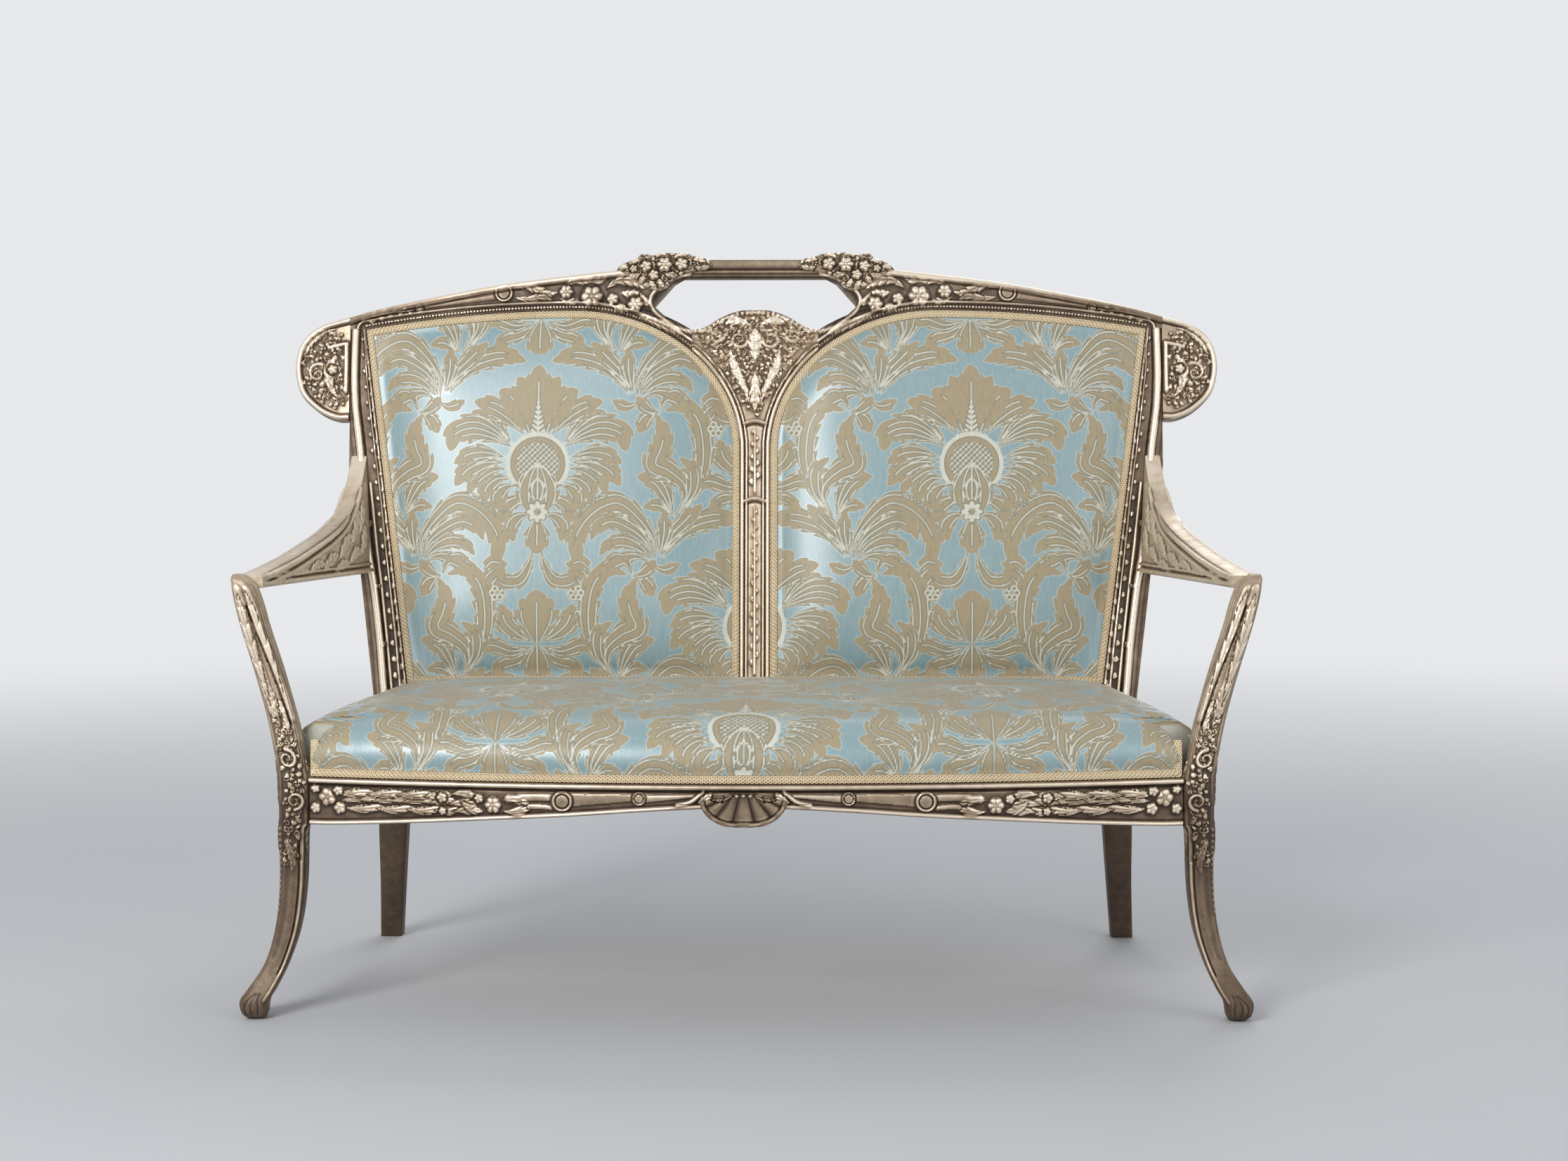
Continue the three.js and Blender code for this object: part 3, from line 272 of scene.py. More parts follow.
def dress(node, material):
    """Gives a CAD node that stays its material."""
    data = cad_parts[node].data
    data.materials.clear()
    data.materials.append(material)


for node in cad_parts:
    dress(node, silvered_plain)


# The damask: a pale blue satin ground with a taupe figure, veined in cream. The figure is a
# traditional one of palmettes in a ring, scrolling leaves and fans, in rows set half a drop apart.
HALF_WIDTH, DROP = 349, 530  # millimetres between rows of palmettes, and from one to the next above
BELOW = 350  # how far the motif reaches below its ring


def smooth_path(points, steps):
    """A Catmull-Rom curve through points, steps to a span, with its ends repeated."""
    p = np.asarray(points, float)
    p = np.vstack([2 * p[0] - p[1], p, 2 * p[-1] - p[-2]])
    t = np.linspace(0, 1, steps, endpoint=False)[None, :, None]
    a, b, c, d = (p[i : len(p) - 3 + i, None, :] for i in range(4))
    curve = 0.5 * (2 * b + (c - a) * t + (2 * a - 5 * b + 4 * c - d) * t**2 + (3 * b - a - 3 * c + d) * t**3)
    return np.vstack([curve.reshape(-1, p.shape[1]), p[-2:-1]])


def along(x, y, spine, reach):
    """Share of the way along the spine and signed distance to its left, for points within reach.

    x and y are flat arrays. The third result is the index of the points that are near enough, and
    the first two hold only those."""
    path = smooth_path(spine, 8)
    start, step = path[:-1], np.diff(path, axis=0)
    size = np.linalg.norm(step, axis=1) + 1e-9
    length = np.concatenate([[0], np.cumsum(size)])
    best, s, t = np.full(x.size, np.inf), np.zeros(x.size), np.zeros(x.size)
    for first in range(0, len(step), 10):
        part = slice(first, first + 10)
        low, high = path[first : first + 11].min(0) - reach, path[first : first + 11].max(0) + reach
        near = np.flatnonzero((x > low[0]) & (x < high[0]) & (y > low[1]) & (y < high[1]))
        if not near.size:
            continue
        offset = np.stack([x[near], y[near]], -1)[:, None, :] - start[part]
        share = np.clip((offset * step[part]).sum(-1) / size[part] ** 2, 0, 1)
        gap = np.linalg.norm(offset - share[..., None] * step[part], axis=-1)
        nearest = gap.argmin(1)
        pick = np.arange(near.size), nearest
        better = gap[pick] < best[near]
        side = step[part][nearest, 0] * offset[pick][:, 1] - step[part][nearest, 1] * offset[pick][:, 0]
        where = near[better]
        best[where] = gap[pick][better]
        s[where] = ((length[part][nearest] + share[pick] * size[part][nearest]) / length[-1])[better]
        t[where] = np.copysign(gap[pick], side)[better]
    near = np.flatnonzero(best < reach)
    return s[near], t[near], near


# Leaves of the figure on the right of a palmette, in millimetres from the middle of its ring: the
# spine from foot to tip, half the greatest width, the teeth on each side, and the cream strands.
SCROLLS = [
    ([(6, -300), (30, -318), (56, -326), (76, -346)], 13, 3, 2),
    ([(0, -290), (0, -322), (0, -356)], 26, 3, 3),
    ([(8, -296), (40, -304), (72, -294), (100, -302)], 15, 4, 3),
    ([(8, -288), (30, -276), (50, -256), (58, -226)], 19, 4, 3),
    ([(0, -296), (0, -250), (0, -204)], 37, 4, 3),
    ([(258, 6), (280, 20), (306, 12)], 13, 3, 2),
    ([(256, 34), (264, 62), (284, 88), (302, 74)], 15, 4, 2),
    ([(262, 92), (278, 106), (300, 100)], 12, 2, 1),
    ([(192, 84), (174, 72), (162, 50)], 14, 3, 2),
    ([(196, 82), (176, 90), (158, 108)], 12, 2, 2),
    ([(196, 84), (204, 106), (224, 112), (234, 92)], 12, 3, 2),
    ([(222, -86), (246, -60), (262, -20), (266, 24), (258, 68), (236, 92), (204, 86)], 19, 9, 3),
    ([(218, -84), (194, -68), (170, -70)], 11, 2, 1),
    ([(218, -84), (206, -50), (190, -28), (160, -20)], 19, 4, 4),
    ([(220, -86), (238, -62), (236, -34), (212, -12), (190, 0), (198, 24), (202, 50), (190, 80)], 22, 9, 3),
    ([(232, -74), (250, -44), (250, -10), (228, 10)], 12, 3, 2),
    ([(204, -152), (222, -122), (250, -98), (290, -88), (328, -98)], 21, 6, 4),
    ([(200, -150), (214, -118), (238, -92), (264, -66)], 14, 4, 3),
    ([(197, -150), (204, -112), (204, -76)], 13, 3, 3),
    ([(190, -160), (186, -122), (160, -86), (128, -64), (90, -80), (64, -116), (66, -148), (88, -162)],
     22, 9, 3),
    ([(187, -156), (174, -126), (150, -106), (120, -94), (96, -106), (86, -124)], 15, 5, 3),
    ([(185, -156), (164, -136), (140, -126), (116, -130), (100, -148)], 13, 5, 2),
    ([(182, -160), (160, -150), (134, -156), (110, -168), (90, -190)], 14, 4, 2),
    ([(186, -164), (206, -172), (230, -162)], 10, 2, 1),
]
PALMETTE = [
    ([(6, -136), (12, -162), (28, -188), (54, -188), (62, -170), (46, -160)], 14, 5, 2),
    ([(8, -84), (28, -86), (42, -102), (38, -126)], 14, 3, 2),
    ([(0, -84), (0, -114), (0, -146)], 23, 3, 3),
    ([(10, -62), (32, -60), (50, -72), (54, -94)], 14, 3, 2),
    ([(34, -34), (52, -40), (64, -56), (54, -76)], 15, 3, 2),
    ([(42, -24), (64, -24), (82, -38), (86, -62)], 16, 3, 3),
    ([(50, -8), (78, -10), (100, -24), (112, -48)], 15, 3, 2),
    ([(54, 2), (86, 2), (114, -10), (134, -36)], 18, 3, 3),
    ([(52, 10), (82, 18), (110, 16), (136, 0)], 15, 3, 3),
    ([(42, 34), (66, 60), (92, 74), (120, 72)], 18, 4, 3),
    ([(42, 26), (72, 48), (104, 58), (134, 48), (142, 20)], 25, 4, 5),
    ([(22, 46), (42, 72), (68, 92), (104, 102)], 20, 4, 4),
    ([(12, 46), (26, 82), (42, 106), (64, 120)], 24, 4, 1),
    ([(4, 44), (12, 88), (20, 118), (34, 142)], 22, 4, 1),
    ([(0, 36), (0, 92), (0, 162)], 30, 5, 1),
]
RING, RING_LINE, DISC = 48, 7, 36
BUDS = [([(0, -92), (0, -50), (0, -2)], 36, 3, 5), ([(0, -62), (0, -44), (0, -24)], 13, 1, 3)]
STAR_DOWN, FLOWER, BERRIES = 78, (286, 56), (102, -50)
BLUNT = 1.35  # how far along a leaf's widest place lies


def leaf_edge(s, t, width, teeth, point=BLUNT):
    """Half width of a leaf that swells towards its blunt tip, its edge cut in teeth that point forward."""
    swell = np.sin(np.pi * np.clip(s, 0, 1) ** point) ** 0.78
    tooth = np.mod(teeth * s - 0.7 * np.abs(t) / width, 1.0)
    return width * swell * (1.04 - 0.36 * (1 - tooth) ** 1.6)


def figure_motif(x, y):
    """Distance inside the figure, and inside its cream lines, for points right of the palmette.

    Each leaf lies over those before it, with a cream line where its edge crosses them, or a shaded
    one round a leaf of one strand. Its strands are lines at even shares of its width, which gather
    at its foot and fade before its tip."""
    shape, x, y = x.shape, x.ravel(), y.ravel()
    figure = np.full(x.size, -30.0)
    line = np.full(x.size, -30.0)
    radius = np.hypot(x, y)

    def lay(edge, near, strands, rim_line=1.3):
        """Puts a form on top: edge is the distance inside it, and strands that inside its lines."""
        rim = (edge <= 0) & (edge > -3.4) & (figure[near] > 0)
        new_line = np.where(edge > 0, strands, line[near])
        line[near] = np.where(rim, np.maximum(new_line, rim_line - np.abs(edge + 1.5)), new_line)
        figure[near] = np.maximum(figure[near], edge)

    for spine, width, teeth, count in SCROLLS + PALMETTE:
        s, t, near = along(x, y, spine, width + 8)
        edge = leaf_edge(s, t, width, teeth) - np.abs(t)
        smooth = width * np.sin(np.pi * np.clip(s, 0.02, 0.98) ** BLUNT) ** 0.78
        share, apart = (t / smooth * 0.5 + 0.5) * count, 2 * smooth / count
        strand = np.minimum(1.05, 0.24 * apart) - np.abs(np.mod(share, 1.0) - 0.5) * apart
        bare = np.clip((s - 0.48 - 0.3 * np.cos(t / smooth * 1.5)) / 0.08, 0, 1)
        strand = np.where(np.abs(t) < 0.9 * smooth, strand, -3) - 5 * bare
        lay(edge, near, strand, np.minimum(1.2, 0.16 * smooth) if count > 1 else -1.4)
    everywhere = np.arange(x.size)
    lay(np.where(radius < RING + 3.5, RING + 3.5 - radius, -9), everywhere, np.full(x.size, -3.0))
    ring = RING_LINE / 2 - np.abs(radius - RING)
    lattice = 1.1 - np.minimum(np.abs(np.mod(x + y, 9.0) - 4.5), np.abs(np.mod(x - y, 9.0) - 4.5))
    line[:] = np.maximum(line, np.where(y > -34, ring, -9))
    line[:] = np.where((radius < DISC) & (y > -26), np.maximum(line, lattice), line)
    for spine, width, teeth, count in BUDS:
        s, t, near = along(x, y, spine, width + 8)
        smooth = width * np.sin(np.pi * np.clip(s, 0.02, 0.98)) ** 0.65
        share = (t / smooth * 0.5 + 0.5) * count
        strand = 1.15 - np.abs(np.mod(share, 1.0) - 0.5) * 2 * smooth / count
        lay(leaf_edge(s, t, width, teeth, 1.0) - np.abs(t), near, strand)
    points = 0.66 + 0.34 * np.abs(np.cos(4 * np.arctan2(y + STAR_DOWN, x)))
    star = 20 * points - np.hypot(x, y + STAR_DOWN)
    lay(star, everywhere, np.minimum(star - 3, 12 - star), -1.4)
    leaflets = 2.3 - np.abs(np.mod(y - 0.8 * np.abs(x), 8.6) - 4.3)
    fir = np.maximum(np.minimum(leaflets, 13 * (1 - (y - 46) / 64) - np.abs(x)), 1.0 - np.abs(x))
    line[:] = np.where((y > 52) & (y < 108), np.maximum(line, fir), line)
    for k in range(7):
        bead = np.hypot(x - BERRIES[0] + 5.6 * k, y - BERRIES[1] + 3.9 * k)
        figure[:] = np.maximum(figure, 2.8 - bead)
        line[:] = np.where(bead < 3.4, 1.4 - bead, line)
    for petal in range(6):
        angle = petal * math.pi / 3
        bead = np.hypot(x - FLOWER[0] - 8 * math.cos(angle), y - FLOWER[1] - 8 * math.sin(angle))
        figure[:] = np.maximum(figure, 6.5 - bead)
        line[:] = np.where(bead < 6.5, 1.4 - np.abs(bead - 4.6), line)
    return figure.reshape(shape), line.reshape(shape)


def damask_table():
    """The motif and its half-drop copy, on one repeat of the cloth at a point to the millimetre."""
    u, v = np.meshgrid(np.arange(HALF_WIDTH + 1), np.arange(DROP), indexing="ij")
    u, v = u.astype(float), v.astype(float)
    first = figure_motif(u, np.mod(v + BELOW, DROP) - BELOW)
    second = figure_motif(HALF_WIDTH - u, np.mod(v + BELOW - DROP / 2, DROP) - BELOW)
    front = first[0] >= second[0]
    return np.maximum(first[0], second[0]), np.where(front, first[1], second[1])


figure_table, line_table = damask_table()


def damask_at(a, b):
    """Figure and line distances at cloth places a across and b along, in metres from a palmette."""
    a, b = a * 1000, b * 1000
    u = np.abs(np.mod(a + HALF_WIDTH, 2 * HALF_WIDTH) - HALF_WIDTH)
    v = np.mod(b, DROP)
    i, j = np.minimum(u.astype(int), HALF_WIDTH - 1), v.astype(int) % DROP
    f, g, k = u - i, v - np.floor(v), (j + 1) % DROP

    def sample(table):
        """The table's value at each place, weighed from the four points about it."""
        lower = table[i, j] * (1 - f) + table[i + 1, j] * f
        return lower * (1 - g) + (table[i, k] * (1 - f) + table[i + 1, k] * f) * g

    return sample(figure_table), sample(line_table)


def damask_group():
    """Colour, roughness and height of the damask from its figure and line distances."""
    group, given, place = node_group("damask_weave", Figure=0, Line=0)

    def step(value, low, high):
        """A smooth step from 0 at low to 1 at high."""
        node = group.nodes.new("ShaderNodeMapRange")
        node.interpolation_type = "SMOOTHSTEP"
        node.inputs["From Min"].default_value, node.inputs["From Max"].default_value = low, high
        group.links.new(value, node.inputs["Value"])
        return node.outputs["Result"]

    figure, line = given["Figure"], given["Line"]
    ragged = maths(group, "MULTIPLY_ADD", noise(group, place, 900, 1), 1.0, -0.5)
    figure = maths(group, "ADD", figure, ragged)
    line = maths(group, "ADD", line, maths(group, "MULTIPLY", ragged, 0.7))
    in_figure, in_line = step(figure, -0.5, 0.5), step(line, -0.6, 0.5)
    outline = maths(group, "MULTIPLY", step(figure, -2.4, -1.2), maths(group, "SUBTRACT", 1.0, in_figure))
    beside = maths(group, "MULTIPLY", step(line, -2.8, -1.2), maths(group, "SUBTRACT", 1.0, in_line))
    slub = noise(group, place, 260, 2, (1, 1, 0.12))
    warmth = noise(group, place, 5, 2)
    ground = blend_colour(group, slub, (0.19, 0.31, 0.335), (0.315, 0.445, 0.46))
    taupe = blend_colour(group, slub, (0.34, 0.26, 0.15), (0.48, 0.385, 0.24))
    taupe = blend_colour(group, maths(group, "MULTIPLY", warmth, 0.5), taupe, (0.42, 0.375, 0.24))
    cream = blend_colour(group, slub, (0.6, 0.59, 0.48), (0.8, 0.79, 0.69))
    colour = blend_colour(group, in_figure, ground, taupe)
    colour = blend_colour(group, maths(group, "MULTIPLY", outline, 0.5), colour, (0.62, 0.66, 0.6))
    shaded = maths(group, "MULTIPLY", maths(group, "MULTIPLY", beside, in_figure), 0.6)
    colour = blend_colour(group, shaded, colour, (0.2, 0.23, 0.19))
    veins = maths(group, "MULTIPLY", in_line, step(figure, -0.8, 0.4))
    colour = blend_colour(group, veins, colour, cream)
    threads = group.nodes.new("ShaderNodeTexWave")
    threads.bands_direction = "Z"
    threads.inputs["Scale"].default_value = 330
    threads.inputs["Distortion"].default_value = 0.6
    group.links.new(place, threads.inputs["Vector"])
    ridges = maths(group, "MULTIPLY", threads.outputs["Fac"], 0.25)
    relief = maths(group, "MULTIPLY_ADD", slub, 0.3, maths(group, "MULTIPLY_ADD", in_figure, 0.5, ridges))
    return with_outputs(
        group, Color=colour, Roughness=maths(group, "MULTIPLY_ADD", in_figure, 0.26, 0.4),
        Coat=maths(group, "MULTIPLY_ADD", in_figure, -0.6, 0.8), Height=relief,
    )


damask = grouped_material(
    "damask", damask_group(), {}, {"Figure": "figure", "Line": "line"}, 0.5, 0.0006,
    Sheen_Weight=0.2, Sheen_Roughness=0.4, Coat_Roughness=0.33, Coat_IOR=1.8,
)


# Carving. The frame's front faces are carved in low relief, drawn here as heights in millimetres
# over each face: rolls and grooves along its edges, pearls, roundels, and toothed leaves.
def stacked(*columns):
    """Points from their coordinates, each an array or a number."""
    return np.stack(np.broadcast_arrays(*columns), -1)


def dome(d):
    """Height of a half circle, 1 over d = 0, with nothing beyond -1 and 1."""
    return np.sqrt(np.clip(1 - d**2, 0, 1))


def lengths(path):
    """How far along a polyline each of its points is."""
    return np.concatenate([[0], np.cumsum(np.linalg.norm(np.diff(path, axis=0), axis=1))])


def resampled(path, gone, at):
    """A polyline's points at the given lengths, gone being those of its own points."""
    return stacked(*(np.interp(at, gone, column) for column in np.transpose(path)))


def even(path, count):
    """A polyline resampled at equal distances, to count points."""
    gone = lengths(path)
    return resampled(path, gone, np.linspace(0, gone[-1], count))


def patch(bottom, top, left, right):
    """A Coons patch between four edges: the two ruled surfaces added, less the one of the corners."""
    u = np.linspace(0, 1, len(bottom))[:, None, None]
    v = np.linspace(0, 1, len(left))[None, :, None]
    ruled = (1 - v) * bottom[:, None] + v * top[:, None] + (1 - u) * left[None] + u * right[None]
    corners = (1 - u) * ((1 - v) * left[0] + v * left[-1]) + u * ((1 - v) * right[0] + v * right[-1])
    return ruled - corners


def new_ground(plane, level=0.0):
    """Flat arrays of a face's places, in millimetres, with the height of the uncarved ground."""
    return plane[..., 0].ravel(), plane[..., 1].ravel(), np.full(plane[..., 0].size, float(level))


def roll(ground, curve, offset, half, high, level=None):
    """A half-round moulding beside a curve, of half width half. Its feet stand at level."""
    x, y, h = ground
    _, t, near = along(x, y, curve, abs(offset) + half + 0.5)
    d = np.abs(t - offset) / half
    foot = h[near] if level is None else level
    h[near] = np.where(d < 1, np.maximum(h[near], foot + (high - foot) * dome(d)), h[near])


def groove(ground, curve, offset, half, deep):
    """A hollow beside a curve, lowest in its middle."""
    x, y, h = ground
    _, t, near = along(x, y, curve, abs(offset) + half + 0.5)
    d = np.abs(t - offset) / half
    h[near] -= deep * np.clip(1 - d**2, 0, 1)


def mouldings(ground, curve, *profile):
    """Rolls and grooves beside a curve: offset, half width, and height, or depth below nought."""
    for offset, half, high in profile:
        (roll if high > 0 else groove)(ground, curve, offset, half, abs(high))


def ease(ground, curve, radius):
    """Rounds the face off towards an edge, by a quarter circle."""
    x, y, h = ground
    _, t, near = along(x, y, curve, radius)
    e = np.clip(np.abs(t) / radius, 0, 1)
    h[near] -= radius * (1 - np.sqrt(1 - (1 - e) ** 2))


def pearls(ground, curve, offset, pitch, radius, high):
    """A row of half balls beside a curve."""
    x, y, h = ground
    length = lengths(smooth_path(curve, 8))[-1]
    s, t, near = along(x, y, curve, abs(offset) + radius + 0.5)
    count = max(1, round(length / pitch))
    p = (np.mod(s * count, 1.0) - 0.5) * length / count
    r = np.hypot(p, t - offset) / radius
    h[near] = np.where(r < 1, np.maximum(h[near], high * dome(r)), h[near])


def leaf(ground, spine, width, lobes, high):
    """A toothed leaf: domed, with a hollow rib and slanted veins, and undercut round its edge."""
    x, y, h = ground
    s, t, near = along(x, y, spine, width + 2)
    half = leaf_edge(s, t, width, lobes)
    k = np.abs(t) / np.maximum(half, 0.05)
    body = high * (0.3 + 0.7 * dome(k)) * (0.7 + 0.3 * np.sin(np.pi * s))
    body -= 0.35 * high * np.exp(-((t / (0.1 * width + 0.35)) ** 2))
    phase = np.mod(lobes * s - 0.5 * np.abs(t) / width + 0.3, 1.0)
    body -= 0.3 * high * np.exp(-(((phase - 0.5) / 0.13) ** 2)) * (k > 0.2)
    rim = (k >= 1) & (np.abs(t) < half + 1.3)
    under = np.minimum(h[near], 0.4 * h[near] - 0.5)
    over = body + 0.3 * np.maximum(h[near], 0)
    h[near] = np.where(k < 1, over, np.where(rim, under, h[near]))


def leaves(ground, table):
    """Leaves from a table of spine, width, lobes and height, the last ones on top."""
    for spine, width, lobes, high in table:
        leaf(ground, spine, width, lobes, high)


def tendril(ground, spine, thick, thin, high):
    """A round stem that tapers from thick to thin half width, along its spine."""
    x, y, h = ground
    s, t, near = along(x, y, spine, thick + 2)
    half = thick + (thin - thick) * s
    k = np.abs(t) / half
    body = high * dome(k) * np.minimum(1, 0.4 + half / thick)
    rim = (k >= 1) & (np.abs(t) < half + 1.1)
    h[near] = np.where(k < 1, np.maximum(h[near], body), np.where(rim, h[near] * 0.3 - 0.5, h[near]))


def spiral(centre, radius, turns, start, hand=1):
    """A spine that winds in to its centre. start is its first direction, in degrees."""
    t = np.linspace(0, 1, int(7 * turns) + 4)
    angle = math.radians(start) + hand * t * turns * 2 * math.pi
    r = radius * (1 - 0.85 * t)
    return stacked(centre[0] + r * np.cos(angle), centre[1] + r * np.sin(angle))


def roundel(ground, centre, radius, high, petals=0):
    """A turned disc with a ring cut in it, or a flower of petals round a boss."""
    x, y, h = ground
    r = np.hypot(x - centre[0], y - centre[1]) / radius
    near = np.flatnonzero(r < 1.25)
    r = r[near]
    if petals:
        fold = np.abs(np.cos(petals * np.arctan2(y[near] - centre[1], x[near] - centre[0]) / 2))
        edge = 0.78 + 0.22 * fold
        body = high * (0.45 + 0.55 * fold**0.5) * np.sin(np.pi * np.clip(r / edge, 0, 1)) ** 0.5
        body = np.where(r < edge, body, -1.5)
        body = np.where(r < 0.3, np.maximum(high * 0.9 * dome(r / 0.3), body), body)
    else:
        body = high * np.maximum(0.8 * dome((r - 0.86) / 0.13), 0.45 * (r < 0.62))
        body -= 1.8 * np.exp(-(((r - 0.67) / 0.06) ** 2))
        body = np.where(r > 1, -1.8 * np.exp(-(((r - 1.08) / 0.08) ** 2)), body)
    h[near] = np.where(r < 1, body, np.minimum(h[near], h[near] * 0.5 + body * (r < 1.2)))


def roundels(ground, table):
    """Roundels from a table of across, up, radius, height and petals."""
    for x, y, radius, high, petals in table:
        roundel(ground, (x, y), radius, high, petals)


def spray(ground, stem, reach, count, high, turn=52, lobes=2, wide=0.3):
    """Leaves that spring from both sides of a stem in turn, shorter towards its tip."""
    path = even(smooth_path(stem, 6), count + 2)
    for k in range(1, count + 1):
        way = path[k + 1] - path[k - 1]
        side = 1 if k % 2 else -1
        angle = math.atan2(way[1], way[0]) + side * math.radians(turn)
        size = reach * (1.1 - 0.5 * k / count)
        middle = path[k] + 0.55 * size * np.array([math.cos(angle), math.sin(angle)])
        angle -= side * math.radians(40)
        tip = middle + 0.55 * size * np.array([math.cos(angle), math.sin(angle)])
        leaf(ground, [path[k], middle, tip], size * wide, lobes, high)
    tendril(ground, stem, 2.2, 1.0, high * 0.8)


def thicket(ground, outline, pitch, high, seed):
    """Close-set small leaves, curls and pearls all over the inside of an outline."""
    chance = np.random.default_rng(seed)
    a = np.asarray(outline, float)
    b = np.roll(a, -1, axis=0)
    low, top = a.min(0), a.max(0)
    rise = np.where(b[:, 1] == a[:, 1], 1e-9, b[:, 1] - a[:, 1])
    for u, v in [(u, v) for u in np.arange(low[0], top[0], pitch) for v in np.arange(low[1], top[1], pitch)]:
        u, v = u + chance.uniform(-0.3, 0.3) * pitch, v + chance.uniform(-0.3, 0.3) * pitch
        angle, kind, bend = chance.uniform(0, 2 * math.pi), chance.uniform(), chance.choice([-1, 1])
        crosses = (a[:, 1] > v) != (b[:, 1] > v)
        at = a[:, 0] + (v - a[:, 1]) * (b[:, 0] - a[:, 0]) / rise
        if (crosses & (u < at)).sum() % 2 == 0:
            continue
        if kind < 0.55:
            place, way = np.array([u, v]), np.array([math.cos(angle), math.sin(angle)])
            over = np.array([-way[1], way[0]]) * bend
            spine = [place - way * pitch * 0.6, place + over * pitch * 0.3, place + way * pitch * 0.6]
            leaf(ground, spine, pitch * 0.42, 2, high)
        elif kind < 0.8:
            curl = spiral((u, v), pitch * 0.55, 1.1, math.degrees(angle), bend)
            tendril(ground, curl, pitch * 0.16, pitch * 0.09, high)
        else:
            roundel(ground, (u, v), pitch * 0.4, high, 5)


def blurred(h, cells):
    """A grid averaged twice over windows of the given numbers of cells each way."""
    for _ in range(2):
        for axis in (0, 1):
            k = max(1, int(cells[axis]))
            padding = [(k, k), (0, 0)] if axis == 0 else [(0, 0), (k, k)]
            total = np.cumsum(np.pad(h, padding, mode="edge"), axis=axis)
            first = np.arange(total.shape[axis] - 2 * k)
            h = (np.take(total, first + 2 * k, axis) - np.take(total, first, axis)) / (2 * k)
    return h


def worn(h, cell_long, cell_wide):
    """From -1 in hollows to 1 on high points: each height less the average about it."""
    near = blurred(h, (3.0 / cell_long, 3.0 / cell_wide))
    wide = blurred(h, (9.0 / cell_long, 9.0 / cell_wide))
    return np.clip((h - near) / 0.8 * 0.27 + (h - wide) / 2.2 * 0.46, -1, 1)


PLAIN = 0.12  # the fields of what isn't seen


def board(face, back, fields):
    """Sheets of a closed board. face is its carved front (m, n, 3), and back a few columns (m, k, 3).

    The long sides join the two, and each end is a strip from the front's end to the back's."""
    ring = np.concatenate([face, back[:, ::-1], face[:, :1]], axis=1)
    count = back.shape[1]
    fields = fields or {"raised": np.zeros(face.shape[:2])}
    behind = np.full(back.shape[:2], PLAIN)
    share = {key: np.concatenate([v, behind, v[:, :1]], axis=1) for key, v in fields.items()}
    snap = np.round(np.linspace(0, count - 1, face.shape[1])).astype(int)
    sheets = [(ring, share)]
    for near, turn in ((0, 1), (-1, -1)):
        rows = np.stack([back[near][snap], face[near]][::turn])
        ends = {key: np.stack([np.full(len(snap), PLAIN), v[near]][::turn]) for key, v in fields.items()}
        sheets.append((rows, ends))
    return sheets


def grid_quads(rows, columns, first=0):
    """The quads between neighbouring points of a grid, as indices that are counted from first."""
    index = first + np.arange(rows * columns).reshape(rows, columns)
    return np.stack([index[:-1, :-1], index[1:, :-1], index[1:, 1:], index[:-1, 1:]], -1).reshape(-1, 4)


def welded(sheets):
    """One closed shell from sheets, each a grid of points with fields at its points.

    Neighbouring points make quads, points that lie together are welded, and faces that close up
    are dropped. The shell is turned so that its volume is positive."""
    points = np.vstack([sheet.reshape(-1, 3) for sheet, _ in sheets])
    keys = sheets[0][1].keys()
    fields = {key: np.concatenate([np.asarray(f[key], float).ravel() for _, f in sheets]) for key in keys}
    faces, first = [], 0
    for sheet, _ in sheets:
        rows, columns = sheet.shape[:2]
        faces.append(grid_quads(rows, columns, first))
        first += rows * columns
    _, kept, lookup = np.unique(np.round(points, 6), axis=0, return_index=True, return_inverse=True)
    faces, points = lookup.ravel()[np.vstack(faces)], points[kept]
    middle = points.mean(0)
    a, b, c, d = (points[faces[:, k]] - middle for k in range(4))
    volume = (np.cross(b, c) * a).sum() + (np.cross(c, d) * a).sum()
    if volume < 0:
        faces = faces[:, ::-1]
    same = faces == np.roll(faces, -1, axis=1)
    corners = np.sort(faces, axis=1)
    distinct = 1 + (np.diff(corners, axis=1) > 0).sum(1)
    quads = faces[distinct == 4]
    one = (distinct == 3) & (same.sum(1) == 1)
    order = (same[one].argmax(1)[:, None] + np.array([0, 2, 3])) % 4
    triangles = np.take_along_axis(faces[one], order, 1)
    return points, quads, triangles, {key: values[kept] for key, values in fields.items()}


